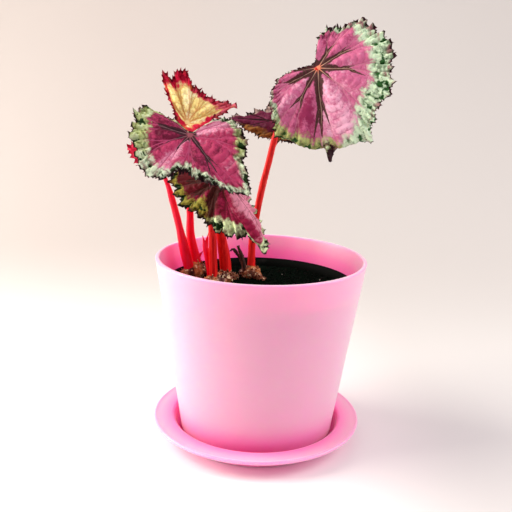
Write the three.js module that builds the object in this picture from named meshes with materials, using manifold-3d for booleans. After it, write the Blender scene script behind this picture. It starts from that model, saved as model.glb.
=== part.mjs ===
// A rex begonia in its black nursery pot, standing inside a tapered pink pot on a matching saucer.
// Millimetres, +Z up, the side with the two large leaves faces -Y.
import * as THREE from 'three';
import { mergeVertices } from 'three/addons/utils/BufferGeometryUtils.js';
import Module from 'manifold-3d';

const wasm = await Module();
wasm.setup();
const { Manifold, Mesh } = wasm;

// Driving dimensions.

const GAP = 0.3; // clearance wherever one piece is cut to receive another
const SOIL_GAP = 0.4; // clearance of the uneven rhizomes in the soil
const ROUND_STEPS = 52; // facets round the pink pot and the saucer

// The saucer is a well with a steep wall, which turns out into a flat rim with a rounded lip.
// recess, bend and fillet: radii in the well's floor, on top of its wall and under the rim.
const SAUCER = {
  floor: 2.2,
  footRadius: 50.6,
  kneeRadius: 53,
  kneeHeight: 3.4,
  neckRadius: 54.4,
  rimHeight: 11.9,
  lipRadius: 66,
  lipHeight: 12.3,
  lipInset: 3.5,
  wall: 2,
  edge: 1.1,
  recess: 2.5,
  bend: 2.5,
  fillet: 1.2,
};
// taper: radius gained per mm of height. corner, edge and inside: radii of the rounded corners at
// the base, the rim and the inner floor.
const POT = {
  rimRadius: 65,
  height: 116,
  taper: 0.149,
  wall: 2.6,
  floor: 3,
  corner: 4.2,
  edge: 0.8,
  inside: 3,
};
const INNER_POT = {
  lipRadius: 59.3,
  lipDepth: 2.8,
  bodyRadius: 57.4,
  height: 100.5,
  baseRadius: 43.6,
  wall: 1.2,
  corner: 1.2,
  steps: 44,
};
const DRAIN = { radius: 4, ring: 26, count: 4, sides: 12 };
const SOIL = { level: 95.5, bump: 0.7, edgeDrop: 0.9, spokes: 32, rings: [9, 18, 27, 36, 45, 52] };

// taper: share of the way from the foot's radius to the top's, at even steps up the stalk.
const STALK = { sides: 9, steps: 16, seat: 0.6, taper: [0, 0, 0.5, 0.6, 1, 1.2] };
const RHIZOME = { sides: 12, steps: 14, dome: 0.8 };
const KNOBS = { round: 7, twist: 19, along: 31 }; // turns of the lumps round and along a rhizome

// thickness: of every blade. fullReach: reach from which waves and blisters have their full height.
// waveStart: share of the reach where the margin's waves begin. toothing: share of the reach by
// which their crests stand out. rings: shares of the reach where the blade is divided.
const BLADE = {
  thickness: 0.7,
  fullReach: 25,
  waveStart: 0.55,
  toothing: 0.022,
  rollShare: 0.45,
  rings: [0.22, 0.45, 0.68, 0.86, 1],
  smallRings: [0.4, 0.75, 1],
};

// Rhizomes: knobby stems lying half in the soil.
// path: centre line, radii: evenly spaced along it, lumps: share by which the radius swells.
const RHIZOMES = {
  left: {
    path: [[-48.6, 13.2, 99.4], [-44.4, 17, 100], [-40, 20.6, 99.9], [-35.3, 22.4, 98]],
    radii: [3.6, 5.4, 5.4, 2.6],
    lumps: 0.1,
  },
  middle: {
    path: [[-38.5, 3, 94], [-30, 8, 96.2], [-19, 18.5, 96.2], [-15.5, 21.5, 94]],
    radii: [2.4, 5, 5, 2.4],
    lumps: 0.1,
  },
  right: {
    path: [[-11.4, 27, 97.2], [-6.8, 24.8, 98.2], [-2.4, 21.4, 97.4], [1.8, 17.8, 95.8]],
    radii: [3.4, 5.2, 3.2, 1.6],
    lumps: 0.12,
  },
};

// Leaf stalks from their foot to just under the blade they carry.
// radius: at the foot and at the top.
const STALKS = {
  tall: {
    path: [
      [-6.4, 26, 95.5], [-6.3, 26, 101.2], [-6.2, 26, 110.1], [-5.9, 26, 121.5], [-3.5, 25, 139],
      [-0.8, 23, 155.6], [2.5, 20, 170.1], [7.2, 17, 190.9], [15, 14, 207.5], [23.3, 10.5, 220.8],
    ],
    radius: [2.4, 1.7],
  },
  front: {
    path: [
      [-29.6, 8, 94], [-29.7, 8, 97.5], [-30.3, 8, 111.8], [-30.8, 7, 126.2], [-33.1, 4, 146.3],
      [-37, -4, 168.7], [-41, -14.5, 183.2],
    ],
    radius: [2.6, 1.8],
  },
  low: {
    path: [
      [-21.6, 18.6, 94], [-22.3, 18.4, 100], [-23.6, 17.6, 110.9], [-25.8, 14, 124.9], [-27, 7, 140.3],
      [-27.4, -3, 153.5],
    ],
    radius: [3.3, 2],
  },
  young: {
    path: [
      [-39.2, 22, 97.5], [-40.6, 22, 102.5], [-43.4, 22, 111.9], [-45.8, 21, 123.3], [-46, 18, 138.9],
      [-46.6, 9, 160.6], [-46.7, 0, 179.8],
    ],
    radius: [2.9, 1.6],
  },
  bud: {
    path: [
      [-45.6, 15.6, 99], [-46.4, 15.5, 104.1], [-49, 15.5, 114.6], [-53.3, 13, 134.5],
      [-56.6, 10.5, 148.2], [-60, 7, 160.5],
    ],
    radius: [3.3, 1.3],
  },
  rear: {
    path: [
      [-5.7, 38.5, 89], [-5.8, 38.5, 99.5], [-5.9, 38.5, 117.4], [-3.2, 38, 136.6], [3, 37, 168],
      [6.6, 34.5, 182.5],
    ],
    radius: [2.2, 1.5],
  },
};

// Leaf blades. at: where the stalk joins; midrib and face: directions at that spot.
// arch: bend along the midrib, per mm; fold: degrees each half lifts off the midrib, the half
// at positive angles first; curl: further bend of each half, per mm; crease: width of the fold.
// lobes: outline as [degrees from the midrib, reach in mm, degrees the margin rolls back].
// veins: main veins in degrees; ripples: waves round the margin; ripple, puff: heights of the waves
// and of the blisters between the veins; rollBand: width of the margin that rolls back.
const BLADES = {
  tall: {
    at: [29.4, 4, 229.6],
    midrib: [0.04, -0.37, -0.93],
    face: [-0.15, -0.92, 0.36],
    arch: 0.01,
    fold: [6, 6],
    curl: [-0.004, -0.004],
    crease: 3,
    lobes: [
      [-22, 51, 135], [-12, 53, 135], [-4, 54, 135], [2, 53.5, 135], [5, 56, 25], [8.5, 54, 80],
      [15, 55, 135], [25, 55.5, 135], [33, 54.5, 40], [38, 48.5, 0], [56, 42.5, 0], [68, 45.5, 0],
      [84, 42.5, 0], [100, 44.5, 0], [126, 40, 0], [138, 39.5, 0], [147, 30, 0], [170, 24, 0],
      [178, 17, 0], [186, 8, 0], [200, 4, 0], [240, 4, 0], [262, 7, 0], [272, 12, 0], [282, 22, 0],
      [300, 32.6, 0], [315, 39, 0], [328, 48, 40],
    ],
    veins: [-85, -62, -30, 2, 47, 82, 118, 146],
    ripples: 36,
    ripple: 1.7,
    puff: 1.6,
    rollBand: 10,
  },
  front: {
    at: [-42.1, -25, 190.8],
    midrib: [0.66, -0.42, -0.62],
    face: [-0.06, -0.84, 0.54],
    arch: 0.005,
    fold: [12, 12],
    curl: [-0.006, -0.006],
    crease: 3,
    lobes: [
      [4, 47.5, 0], [14, 40, 0], [21, 34.5, 0], [36, 33, 0], [59, 27, 0], [72, 22, 0], [79, 13, 0],
      [86, 5, 0], [95, 2.4, 0], [140, 2.2, 0], [168, 2.4, 0], [181, 6, 0], [187, 16, 0], [195, 31, 0],
      [204, 36, 0], [214, 33, 0], [234, 33.5, 0], [246, 31.5, 0], [262, 33.5, 0], [279, 35, 0],
      [293, 31.5, 15], [303, 25, 70], [317, 24, 70], [331, 28.5, 10], [346, 35, 0],
    ],
    veins: [-170, -146, -108, -78, -42, -6, 34, 68],
    ripples: 30,
    ripple: 1.4,
    puff: 1,
    rollBand: 9,
  },
  low: {
    at: [-25.3, -15, 165.8],
    midrib: [0.472, -0.3, -0.8],
    face: [-0.42, -0.9, 0.06],
    arch: 0.006,
    fold: [-97, 0],
    curl: [-0.01, -0.006],
    crease: 6,
    lobes: [
      [0, 50, 0], [15, 35, 0], [45, 22, 0], [90, 14, 0], [130, 9, 0], [165, 5, 0], [205, 5, 0],
      [222, 8, 0], [232, 22, 0], [241, 35.5, 0], [251, 34, 0], [273, 32, 0], [285, 28, 0], [299, 28, 0],
      [327, 33, 0], [345, 36, 0], [354, 38, 0],
    ],
    veins: [-115, -90, -54, -18, 18, 60, 110],
    ripples: 28,
    ripple: 1.4,
    puff: 0.9,
    rollBand: 8,
  },
  young: {
    at: [-45.7, -8, 196.2],
    midrib: [0.93, -0.02, 0.36],
    face: [0.02, -0.94, 0.33],
    arch: 0.004,
    fold: [6, 50],
    curl: [0.004, -0.06],
    crease: 3,
    lobes: [
      [4, 31, 0], [15, 23, 0], [37, 19.5, 0], [63, 21.6, 0], [69, 24.5, 0], [76, 31, 0], [84, 29.5, 0],
      [92, 27, 0], [98, 31.5, 0], [102, 27, 0], [114, 12.5, 0], [128, 8.5, 0], [150, 7, 0], [190, 6.5, 0],
      [235, 9.5, 0], [275, 13.5, 0], [310, 14, 0], [343, 15.5, 0], [356, 20, 0],
    ],
    veins: [-75, -30, 5, 35, 62, 88, 108],
    ripples: 26,
    ripple: 0.9,
    puff: 1.2,
    rollBand: 6,
  },
  rear: {
    at: [19.2, 27, 195.4],
    midrib: [-0.96, 0.17, 0.09],
    face: [-0.02, -0.5, 0.86],
    arch: 0.004,
    fold: [-45, 16],
    curl: [0, 0],
    crease: 3,
    lobes: [
      [-2, 43, 0], [6, 36, 0], [16, 29, 0], [26, 24, 0], [40, 17.5, 0], [70, 13, 0], [110, 12, 0],
      [150, 9, 0], [178, 5, 0], [205, 9, 0], [228, 18, 0], [252, 23, 0], [290, 25, 0], [325, 24, 0],
      [336, 23.5, 0], [348, 31, 0],
    ],
    veins: [-120, -75, -35, -2, 32, 75, 120],
    ripples: 26,
    ripple: 1,
    puff: 1.2,
    rollBand: 8,
  },
  bud: {
    at: [-65.6, -4, 171.9],
    midrib: [-0.86, 0.05, 0.5],
    face: [-0.1, -0.8, 0.6],
    arch: 0.002,
    fold: [20, 20],
    curl: [0, 0],
    crease: 2,
    lobes: [
      [-8, 20, 0], [6, 15, 0], [25, 10.5, 0], [60, 7.5, 0], [95, 6, 0], [135, 5, 0], [180, 3, 0],
      [225, 7, 0], [270, 11, 0], [310, 13.5, 0], [335, 16.5, 0],
    ],
    veins: [-90, -45, -8, 30, 80],
    ripples: 16,
    ripple: 1.2,
    puff: 0.9,
    rollBand: 5,
  },
};

const COLOURS = {
  pink: ['#f2a9c6', 0.42],
  black: ['#1b1719', 0.5],
  soil: ['#1c1613', 0.95],
  rhizome: ['#8a5a38', 0.8],
  stalk: ['#c2182c', 0.45],
  dry: ['#3b2019', 0.85],
  tall: ['#b5598a', 0.5],
  front: ['#a84c86', 0.5],
  low: ['#87405f', 0.55],
  young: ['#d99a5b', 0.5],
  rear: ['#7a2b4a', 0.55],
  bud: ['#cf2440', 0.5],
};

// Small helpers.

const radians = THREE.MathUtils.degToRad;
const smoothstep = THREE.MathUtils.smoothstep;
const vector = ([x, y, z]) => new THREE.Vector3(x, y, z);

const group = new THREE.Group();
group.name = 'potted_begonia';

function addPart(name, geometry, colour) {
  const [shade, roughness] = COLOURS[colour];
  const material = new THREE.MeshStandardMaterial({ color: shade, roughness, metalness: 0 });
  const mesh = new THREE.Mesh(geometry, material);
  mesh.name = name;
  group.add(mesh);
}

function indexed(points, triangles) {
  const geometry = new THREE.BufferGeometry();
  geometry.setAttribute('position', new THREE.Float32BufferAttribute(points.flat(), 3));
  geometry.setIndex(triangles.flat());
  return geometry;
}

// Welded triangles of a geometry, without the slivers that collapse to a line, facing outwards.
function weldedTriangles(geometry) {
  const bare = geometry.clone();
  bare.deleteAttribute('normal');
  bare.deleteAttribute('uv');
  const welded = mergeVertices(bare, 1e-4);
  const position = welded.attributes.position;
  const corner = (i) => new THREE.Vector3().fromBufferAttribute(position, i);
  const triangles = [];
  let volume = 0;
  for (let i = 0; i < welded.index.count; i += 3) {
    const [a, b, c] = [0, 1, 2].map((k) => welded.index.getX(i + k));
    if (a !== b && b !== c && c !== a) {
      triangles.push([a, b, c]);
      volume += corner(a).dot(corner(b).cross(corner(c)));
    }
  }
  const facing = volume < 0 ? triangles.map(([a, b, c]) => [a, c, b]) : triangles;
  return { position, triangles: facing };
}

function toSolid(geometry) {
  const { position, triangles } = weldedTriangles(geometry);
  return new Manifold(new Mesh({
    numProp: 3,
    vertProperties: new Float32Array(position.array),
    triVerts: new Uint32Array(triangles.flat()),
  }));
}

function toGeometry(solid) {
  const mesh = solid.getMesh();
  const geometry = new THREE.BufferGeometry();
  geometry.setAttribute('position', new THREE.BufferAttribute(new Float32Array(mesh.vertProperties), 3));
  geometry.setIndex(new THREE.BufferAttribute(new Uint32Array(mesh.triVerts), 1));
  geometry.computeVertexNormals();
  return geometry;
}

// Solid of revolution about the vertical axis from [radius, height] points.
function turned(profile, steps = ROUND_STEPS) {
  const lathe = new THREE.LatheGeometry(profile.map(([r, z]) => new THREE.Vector2(r, z)), steps);
  return toSolid(lathe.rotateX(Math.PI / 2));
}

// Points on an arc round [r, z], from one angle to another in degrees, 0 outwards and 90 up.
function arc([r, z], radius, from, to, steps) {
  return Array.from({ length: steps + 1 }, (_, i) => {
    const angle = radians(THREE.MathUtils.lerp(from, to, i / steps));
    return [r + radius * Math.cos(angle), z + radius * Math.sin(angle)];
  });
}

function uprightCylinder(radius, bottom, top, x, y) {
  const cylinder = new THREE.CylinderGeometry(radius, radius, top - bottom, DRAIN.sides);
  return toSolid(cylinder.rotateX(Math.PI / 2).translate(x, y, (top + bottom) / 2));
}

function valueAlong(values, t) {
  const place = t * (values.length - 1);
  const k = Math.min(Math.floor(place), values.length - 2);
  return THREE.MathUtils.lerp(values[k], values[k + 1], smoothstep(place - k, 0, 1));
}

// Round stem swept along a centre line, its radius eased between the given radii. dome rounds its
// ends, lumps make it knobby and grow widens it into the tool that cuts its hole.
function stem({ path, radii, sides, steps, lumps = 0, dome = 0, grow = 0 }) {
  const curve = new THREE.CatmullRomCurve3(path.map(vector), false, 'centripetal');
  const frames = curve.computeFrenetFrames(steps, false);
  const points = [];
  const triangles = [];
  for (let i = 0; i <= steps; i += 1) {
    const t = i / steps;
    const centre = curve.getPointAt(t);
    for (let j = 0; j < sides; j += 1) {
      const angle = (2 * Math.PI * j) / sides;
      const round = Math.sin(KNOBS.round * angle * (j % 2 ? 1 : -1) + KNOBS.twist * t);
      const swell = 1 + lumps * (round + Math.sin(KNOBS.along * t));
      const radius = valueAlong(radii, t) * swell + grow;
      const spot = centre.clone();
      spot.addScaledVector(frames.normals[i], radius * Math.cos(angle));
      spot.addScaledVector(frames.binormals[i], radius * Math.sin(angle));
      points.push(spot.toArray());
    }
  }
  for (let i = 0; i < steps; i += 1) {
    for (let j = 0; j < sides; j += 1) {
      const a = i * sides + j;
      const b = i * sides + ((j + 1) % sides);
      triangles.push([a, b, b + sides], [a, b + sides, a + sides]);
    }
  }
  const ends = [[0, -1, 0], [steps, 1, steps * sides]];
  for (const [i, way, first] of ends) {
    const reach = way * (valueAlong(radii, i / steps) * dome + grow);
    const tip = curve.getPointAt(i / steps).addScaledVector(frames.tangents[i], reach);
    points.push(tip.toArray());
    for (let j = 0; j < sides; j += 1) {
      const a = first + j;
      const b = first + ((j + 1) % sides);
      triangles.push(way < 0 ? [b, a, points.length - 1] : [a, b, points.length - 1]);
    }
  }
  return toSolid(indexed(points, triangles));
}

// Saucer, pink pot and nursery pot.

function saucerSolid() {
  const { floor, footRadius, kneeRadius, kneeHeight, neckRadius, rimHeight, lipRadius } = SAUCER;
  const { lipHeight, lipInset, wall, edge, recess, bend, fillet } = SAUCER;
  return turned([
    [0, 0],
    ...arc([footRadius - edge, edge], edge, -90, -45, 1),
    [kneeRadius, kneeHeight],
    ...arc([neckRadius + fillet, rimHeight - wall - fillet], fillet, 180, 90, 1),
    ...arc([lipRadius - edge, lipHeight - edge], edge, -70, 125, 4),
    [lipRadius - lipInset, rimHeight],
    ...arc([neckRadius - wall + bend, rimHeight - bend], bend, 90, 180, 3),
    ...arc([footRadius - wall, floor + recess], recess, -20, -90, 2),
    [0, floor],
  ]);
}

function drainHoles(bottom, top) {
  const holes = [];
  for (let i = 0; i < DRAIN.count; i += 1) {
    const angle = (2 * Math.PI * (i + 0.5)) / DRAIN.count;
    const x = DRAIN.ring * Math.cos(angle);
    const y = DRAIN.ring * Math.sin(angle);
    holes.push(uprightCylinder(DRAIN.radius, bottom, top, x, y));
  }
  return Manifold.union(holes);
}

function potSolid() {
  const { rimRadius, height, taper, wall, floor, corner, edge, inside } = POT;
  const lean = THREE.MathUtils.radToDeg(Math.atan(taper));
  const outer = (z) => rimRadius - (height - z) * taper;
  const bottom = SAUCER.floor;
  const bed = bottom + floor;
  const shell = turned([
    [0, bottom],
    ...arc([outer(bottom + corner) - corner, bottom + corner], corner, -90, -lean, 3),
    ...arc([rimRadius - edge, height - edge], edge, -lean, 90, 2),
    ...arc([rimRadius - wall + edge, height - edge], edge, 90, 180 - lean, 1),
    ...arc([outer(bed + inside) - wall - inside, bed + inside], inside, -lean, -90, 2),
    [0, bed],
  ]);
  return shell.subtract(drainHoles(bottom - 1, bed + 1));
}

// Inside radius of the nursery pot's wall at a height.
function innerPotInside(z) {
  const { lipDepth, bodyRadius, height, baseRadius, wall, corner } = INNER_POT;
  const low = SAUCER.floor + POT.floor + wall + corner;
  const high = height - lipDepth;
  return THREE.MathUtils.lerp(baseRadius, bodyRadius, (z - low) / (high - low)) - wall;
}

function innerPotSolid() {
  const { lipRadius, lipDepth, bodyRadius, height, baseRadius, wall, corner, steps } = INNER_POT;
  const bottom = SAUCER.floor + POT.floor;
  const bed = bottom + wall;
  const lip = (lipRadius - bodyRadius) / 2;
  const shell = turned([
    [0, bottom],
    ...arc([baseRadius - corner, bottom + corner], corner, -90, 0, 1),
    [bodyRadius, height - lipDepth],
    ...arc([lipRadius - lip, height - lip], lip, -60, 120, 3),
    [innerPotInside(height - lipDepth), height - lipDepth],
    ...arc([baseRadius - wall - corner, bed + corner], corner, 0, -90, 1),
    [0, bed],
  ], steps);
  return shell.subtract(drainHoles(bottom - 1, bed + 1));
}

// Soil.

function soilHeight(x, y) {
  const broad = Math.sin(0.31 * x + 1.3) * Math.cos(0.27 * y);
  const crumbs = 0.6 * Math.sin(0.83 * x + 0.71 * y) * Math.sin(0.66 * x - 0.9 * y);
  return SOIL.level + SOIL.bump * (broad + crumbs);
}

function soilSolid() {
  const { baseRadius, wall, corner } = INNER_POT;
  const bottom = SAUCER.floor + POT.floor + wall;
  const edge = SOIL.level - SOIL.edgeDrop;
  const top = SOIL.rings.map((r) => [r, null]);
  const rim = [innerPotInside(edge) - GAP, edge];
  const outline = [...top, rim, [baseRadius - wall - corner - GAP, bottom]];
  const points = [[0, 0, soilHeight(0, 0)]];
  const triangles = [];
  const spoke = (ring, j) => 1 + ring * SOIL.spokes + (j % SOIL.spokes);
  outline.forEach(([radius, fixed], ring) => {
    for (let j = 0; j < SOIL.spokes; j += 1) {
      const angle = (2 * Math.PI * j) / SOIL.spokes;
      const x = radius * Math.cos(angle);
      const y = radius * Math.sin(angle);
      points.push([x, y, fixed ?? soilHeight(x, y)]);
      const inward = ring === 0 ? [] : [[spoke(ring - 1, j), spoke(ring, j), spoke(ring, j + 1)]];
      const across = ring === 0
        ? [0, spoke(0, j), spoke(0, j + 1)]
        : [spoke(ring - 1, j), spoke(ring, j + 1), spoke(ring - 1, j + 1)];
      triangles.push(...inward, across);
    }
  });
  points.push([0, 0, bottom]);
  for (let j = 0; j < SOIL.spokes; j += 1) {
    triangles.push([points.length - 1, spoke(outline.length - 1, j + 1), spoke(outline.length - 1, j)]);
  }
  return toSolid(indexed(points, triangles));
}

// Leaf blades.

// Curve through [angle, value] pairs round a full turn, with no overshoot between them.
function roundCurve(pairs) {
  const turn = 360;
  const sorted = pairs.map(([a, v]) => [((a % turn) + turn) % turn, v]).sort((p, q) => p[0] - q[0]);
  const count = sorted.length;
  const rise = sorted.map(([a, v], i) => {
    const [b, w] = sorted[(i + 1) % count];
    return (w - v) / ((b - a + turn) % turn);
  });
  const slope = rise.map((next, i) => {
    const last = rise[(i + count - 1) % count];
    return last * next > 0 ? (2 * last * next) / (last + next) : 0;
  });
  return (degrees) => {
    const a = ((degrees % turn) + turn) % turn;
    let i = count - 1;
    while (i > 0 && sorted[i][0] > a) {
      i -= 1;
    }
    if (a < sorted[0][0]) {
      i = count - 1;
    }
    const j = (i + 1) % count;
    const span = (sorted[j][0] - sorted[i][0] + turn) % turn;
    const t = ((a - sorted[i][0] + turn) % turn) / span;
    const ease = t * t * (3 - 2 * t);
    const enter = t * (1 - t) * (1 - t) * span * slope[i];
    const leave = t * t * (1 - t) * span * slope[j];
    return sorted[i][1] * (1 - ease) + sorted[j][1] * ease + enter - leave;
  };
}

// Share of the way from one main vein to the next, 0 and 1 on a vein.
function betweenVeins(veins, degrees) {
  const turn = 360;
  let left = turn;
  let right = turn;
  for (const vein of veins) {
    const ahead = (((vein - degrees) % turn) + turn) % turn;
    right = Math.min(right, ahead);
    left = Math.min(left, turn - ahead);
  }
  return left / (left + right);
}

function bladeFrame(leaf) {
  const face = vector(leaf.face).normalize();
  const midrib = vector(leaf.midrib);
  midrib.addScaledVector(face, -midrib.dot(face)).normalize();
  const side = new THREE.Vector3().crossVectors(face, midrib);
  return { face, midrib, side };
}

// Bends the flat spot (s along the midrib, t across it, lifted by d) into its place in space.
function bend(leaf, frame, s, t, d) {
  const dive = leaf.arch * s;
  const along = Math.sin(dive) / leaf.arch;
  const drop = (1 - Math.cos(dive)) / leaf.arch;
  const up = frame.midrib.clone().multiplyScalar(Math.sin(dive));
  up.addScaledVector(frame.face, Math.cos(dive));
  const half = t >= 0 ? 0 : 1;
  const way = t >= 0 ? 1 : -1;
  const fold = radians(leaf.fold[half]) || 1e-6;
  const curl = leaf.curl[half] || 1e-9;
  const onCrease = (fold * Math.min(Math.abs(t), leaf.crease)) / leaf.crease;
  const beyond = Math.max(0, Math.abs(t) - leaf.crease);
  const lean = onCrease + curl * beyond;
  const tightness = fold / leaf.crease;
  const across = Math.sin(onCrease) / tightness + (Math.sin(lean) - Math.sin(onCrease)) / curl;
  const lift = (1 - Math.cos(onCrease)) / tightness + (Math.cos(onCrease) - Math.cos(lean)) / curl;
  const spot = vector(leaf.at);
  spot.addScaledVector(frame.midrib, along);
  spot.addScaledVector(frame.face, -drop);
  spot.addScaledVector(frame.side, way * across - way * d * Math.sin(lean));
  spot.addScaledVector(up, lift + d * Math.cos(lean));
  return spot;
}

// Spot of the middle surface at an angle and a share q of the reach.
function bladeSpot(leaf, curves, frame, degrees, wave, q) {
  const reach = curves.reach(degrees);
  const size = Math.min(1, reach / BLADE.fullReach);
  const rim = smoothstep(q, BLADE.waveStart, 1);
  const radius = q * reach * (1 + BLADE.toothing * (wave - 0.5) * size * rim);
  const band = Math.min(leaf.rollBand, BLADE.rollShare * reach);
  const roll = Math.max(radians(curves.roll(degrees)), 1e-4) / band;
  const past = Math.max(0, radius - (reach - band));
  const rolled = radius - past + Math.sin(roll * past) / roll;
  const dip = (1 - Math.cos(roll * past)) / roll;
  const pillow = Math.sin(Math.PI * betweenVeins(leaf.veins, degrees)) ** 2;
  const puff = leaf.puff * size * pillow * smoothstep(radius, 2, 16) * (1 - 0.7 * rim);
  const angle = radians(degrees);
  const uneven = 0.8 + 0.3 * Math.sin(5 * angle + leaf.ripples);
  const ripple = leaf.ripple * uneven * size * wave * rim;
  return bend(leaf, frame, rolled * Math.cos(angle), rolled * Math.sin(angle), puff + ripple - dip);
}

function bladeSolid(leaf, rings, thickness = BLADE.thickness) {
  const frame = bladeFrame(leaf);
  const curves = {
    reach: roundCurve(leaf.lobes.map(([a, reach]) => [a, reach])),
    roll: roundCurve(leaf.lobes.map(([a, , roll]) => [a, roll])),
  };
  const spokes = 2 * leaf.ripples;
  const tip = leaf.lobes.reduce((far, lobe) => (lobe[1] > far[1] ? lobe : far))[0];
  const sheet = [bend(leaf, frame, 0, 0, 0).toArray()];
  for (const q of rings) {
    for (let j = 0; j < spokes; j += 1) {
      const wave = j % 2 === 0 ? 1 : -1;
      sheet.push(bladeSpot(leaf, curves, frame, tip + (360 * j) / spokes, wave, q).toArray());
    }
  }
  const at = (ring, j) => 1 + ring * spokes + (j % spokes);
  const triangles = [];
  for (let j = 0; j < spokes; j += 1) {
    triangles.push([0, at(0, j), at(0, j + 1)]);
    for (let ring = 1; ring < rings.length; ring += 1) {
      const [a, b, c, d] = [at(ring - 1, j), at(ring, j), at(ring, j + 1), at(ring - 1, j + 1)];
      triangles.push([a, b, c], [a, c, d]);
    }
  }
  const surface = indexed(sheet, triangles);
  surface.computeVertexNormals();
  const normals = surface.attributes.normal;
  const face = (offset) => sheet.map((p, i) => {
    const normal = new THREE.Vector3().fromBufferAttribute(normals, i);
    return vector(p).addScaledVector(normal, offset).toArray();
  });
  const below = sheet.length;
  const under = triangles.map(([a, b, c]) => [a + below, c + below, b + below]);
  const edge = [];
  for (let j = 0; j < spokes; j += 1) {
    const [a, b] = [at(rings.length - 1, j), at(rings.length - 1, j + 1)];
    edge.push([a, a + below, b + below], [a, b + below, b]);
  }
  const half = thickness / 2;
  return toSolid(indexed([...face(half), ...face(-half)], [...triangles, ...under, ...edge]));
}

// A stalk runs on from its path to the blade it carries and is trimmed to fit under it.
function stalkSolid(name, grow = 0) {
  const blade = BLADES[name];
  const end = vector(blade.at).addScaledVector(bladeFrame(blade).face, -STALK.seat);
  const { path, radius: [foot, top] } = STALKS[name];
  const radii = STALK.taper.map((share) => THREE.MathUtils.lerp(foot, top, share));
  const whole = stem({ ...STALK, path: [...path, end.toArray()], radii, grow });
  if (grow > 0) {
    return whole;
  }
  const smooth = { ...blade, ripples: 8, ripple: 0 };
  const clearance = bladeSolid(smooth, [0.3, 0.6], BLADE.thickness + 2 * GAP);
  const pieces = whole.subtract(clearance).decompose();
  return pieces.reduce((largest, piece) => (piece.volume() > largest.volume() ? piece : largest));
}

// Assembly.

const SMALL_STEMS = {
  // Red papery spike beside the foot of the young leaf's stalk.
  stipule: {
    path: [[-41.6, 22, 105], [-39.7, 22, 110], [-37.4, 22, 112.9]],
    radii: [1.6, 1.1, 0.2],
    sides: 6,
    steps: 4,
  },
  // Young pointed shoot and the second point of its forked tip.
  shoot: {
    path: [[-32.6, 11.6, 97.5], [-33.4, 12, 104.1], [-35.1, 12, 115.9], [-37.4, 12, 125.2]],
    radii: [1.2, 1.6, 1.9, 0.25],
    sides: 8,
    steps: 8,
  },
  fork: {
    path: [[-34.6, 12, 113], [-34.8, 13, 121], [-33.7, 13.4, 127]],
    radii: [1.2, 1.1, 0.2],
    sides: 6,
    steps: 4,
  },
  // Withered stalks left on the right rhizome.
  dryStalk: {
    path: [[-10.2, 23.6, 97.4], [-10.8, 22.9, 103], [-13, 22, 111.4], [-15.4, 21.4, 117]],
    radii: [1.3, 1.4, 1.3, 0.7],
    sides: 8,
    steps: 8,
  },
  dryHook: {
    path: [
      [-10.5, 23.3, 99.6], [-12.9, 23.8, 106], [-15.9, 24.2, 111.4], [-18.2, 24.2, 114],
      [-20.6, 24.2, 112.6],
    ],
    radii: [0.9, 0.8, 0.7, 1.1, 0.4],
    sides: 6,
    steps: 10,
  },
};

const rhizomes = {};
for (const [name, shape] of Object.entries(RHIZOMES)) {
  rhizomes[name] = (grow) => stem({ ...shape, ...RHIZOME, grow });
}
const stalks = {};
for (const name of Object.keys(STALKS)) {
  stalks[name] = (grow) => stalkSolid(name, grow);
}
const small = (name, grow = 0) => stem({ ...SMALL_STEMS[name], grow });
const shoot = (grow) => small('shoot', grow).add(small('fork', grow));
const dryStalks = (grow) => small('dryStalk', grow).add(small('dryHook', grow));

addPart('saucer', toGeometry(saucerSolid()), 'pink');
addPart('pot', toGeometry(potSolid()), 'pink');
addPart('nursery_pot', toGeometry(innerPotSolid()), 'black');

const rooted = [
  ...Object.values(rhizomes).map((make) => make(SOIL_GAP)),
  ...Object.values(stalks).map((make) => make(GAP)),
  shoot(GAP),
];
addPart('soil', toGeometry(soilSolid().subtract(Manifold.union(rooted))), 'soil');

addPart('rhizome_left', toGeometry(
  rhizomes.left(0).subtract(stalks.young(GAP)).subtract(stalks.bud(GAP)),
), 'rhizome');
addPart('rhizome_middle', toGeometry(
  rhizomes.middle(0).subtract(stalks.front(GAP)).subtract(stalks.low(GAP)).subtract(shoot(GAP)),
), 'rhizome');
addPart('rhizome_right', toGeometry(
  rhizomes.right(0).subtract(stalks.tall(GAP)).subtract(dryStalks(GAP)),
), 'rhizome');
addPart('shoot', toGeometry(shoot(0)), 'stalk');
addPart('dry_stalks', toGeometry(dryStalks(0)), 'dry');

for (const name of Object.keys(STALKS)) {
  const solid = name === 'young' ? stalks[name](0).add(small('stipule')) : stalks[name](0);
  addPart(`stalk_${name}`, toGeometry(solid), 'stalk');
}

for (const [name, leaf] of Object.entries(BLADES)) {
  const rings = name === 'bud' ? BLADE.smallRings : BLADE.rings;
  addPart(`blade_${name}`, toGeometry(bladeSolid(leaf, rings)), name);
}

export default group;
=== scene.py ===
import math

import bpy
import numpy as np
from mathutils import Matrix, Vector, kdtree, noise


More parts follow.
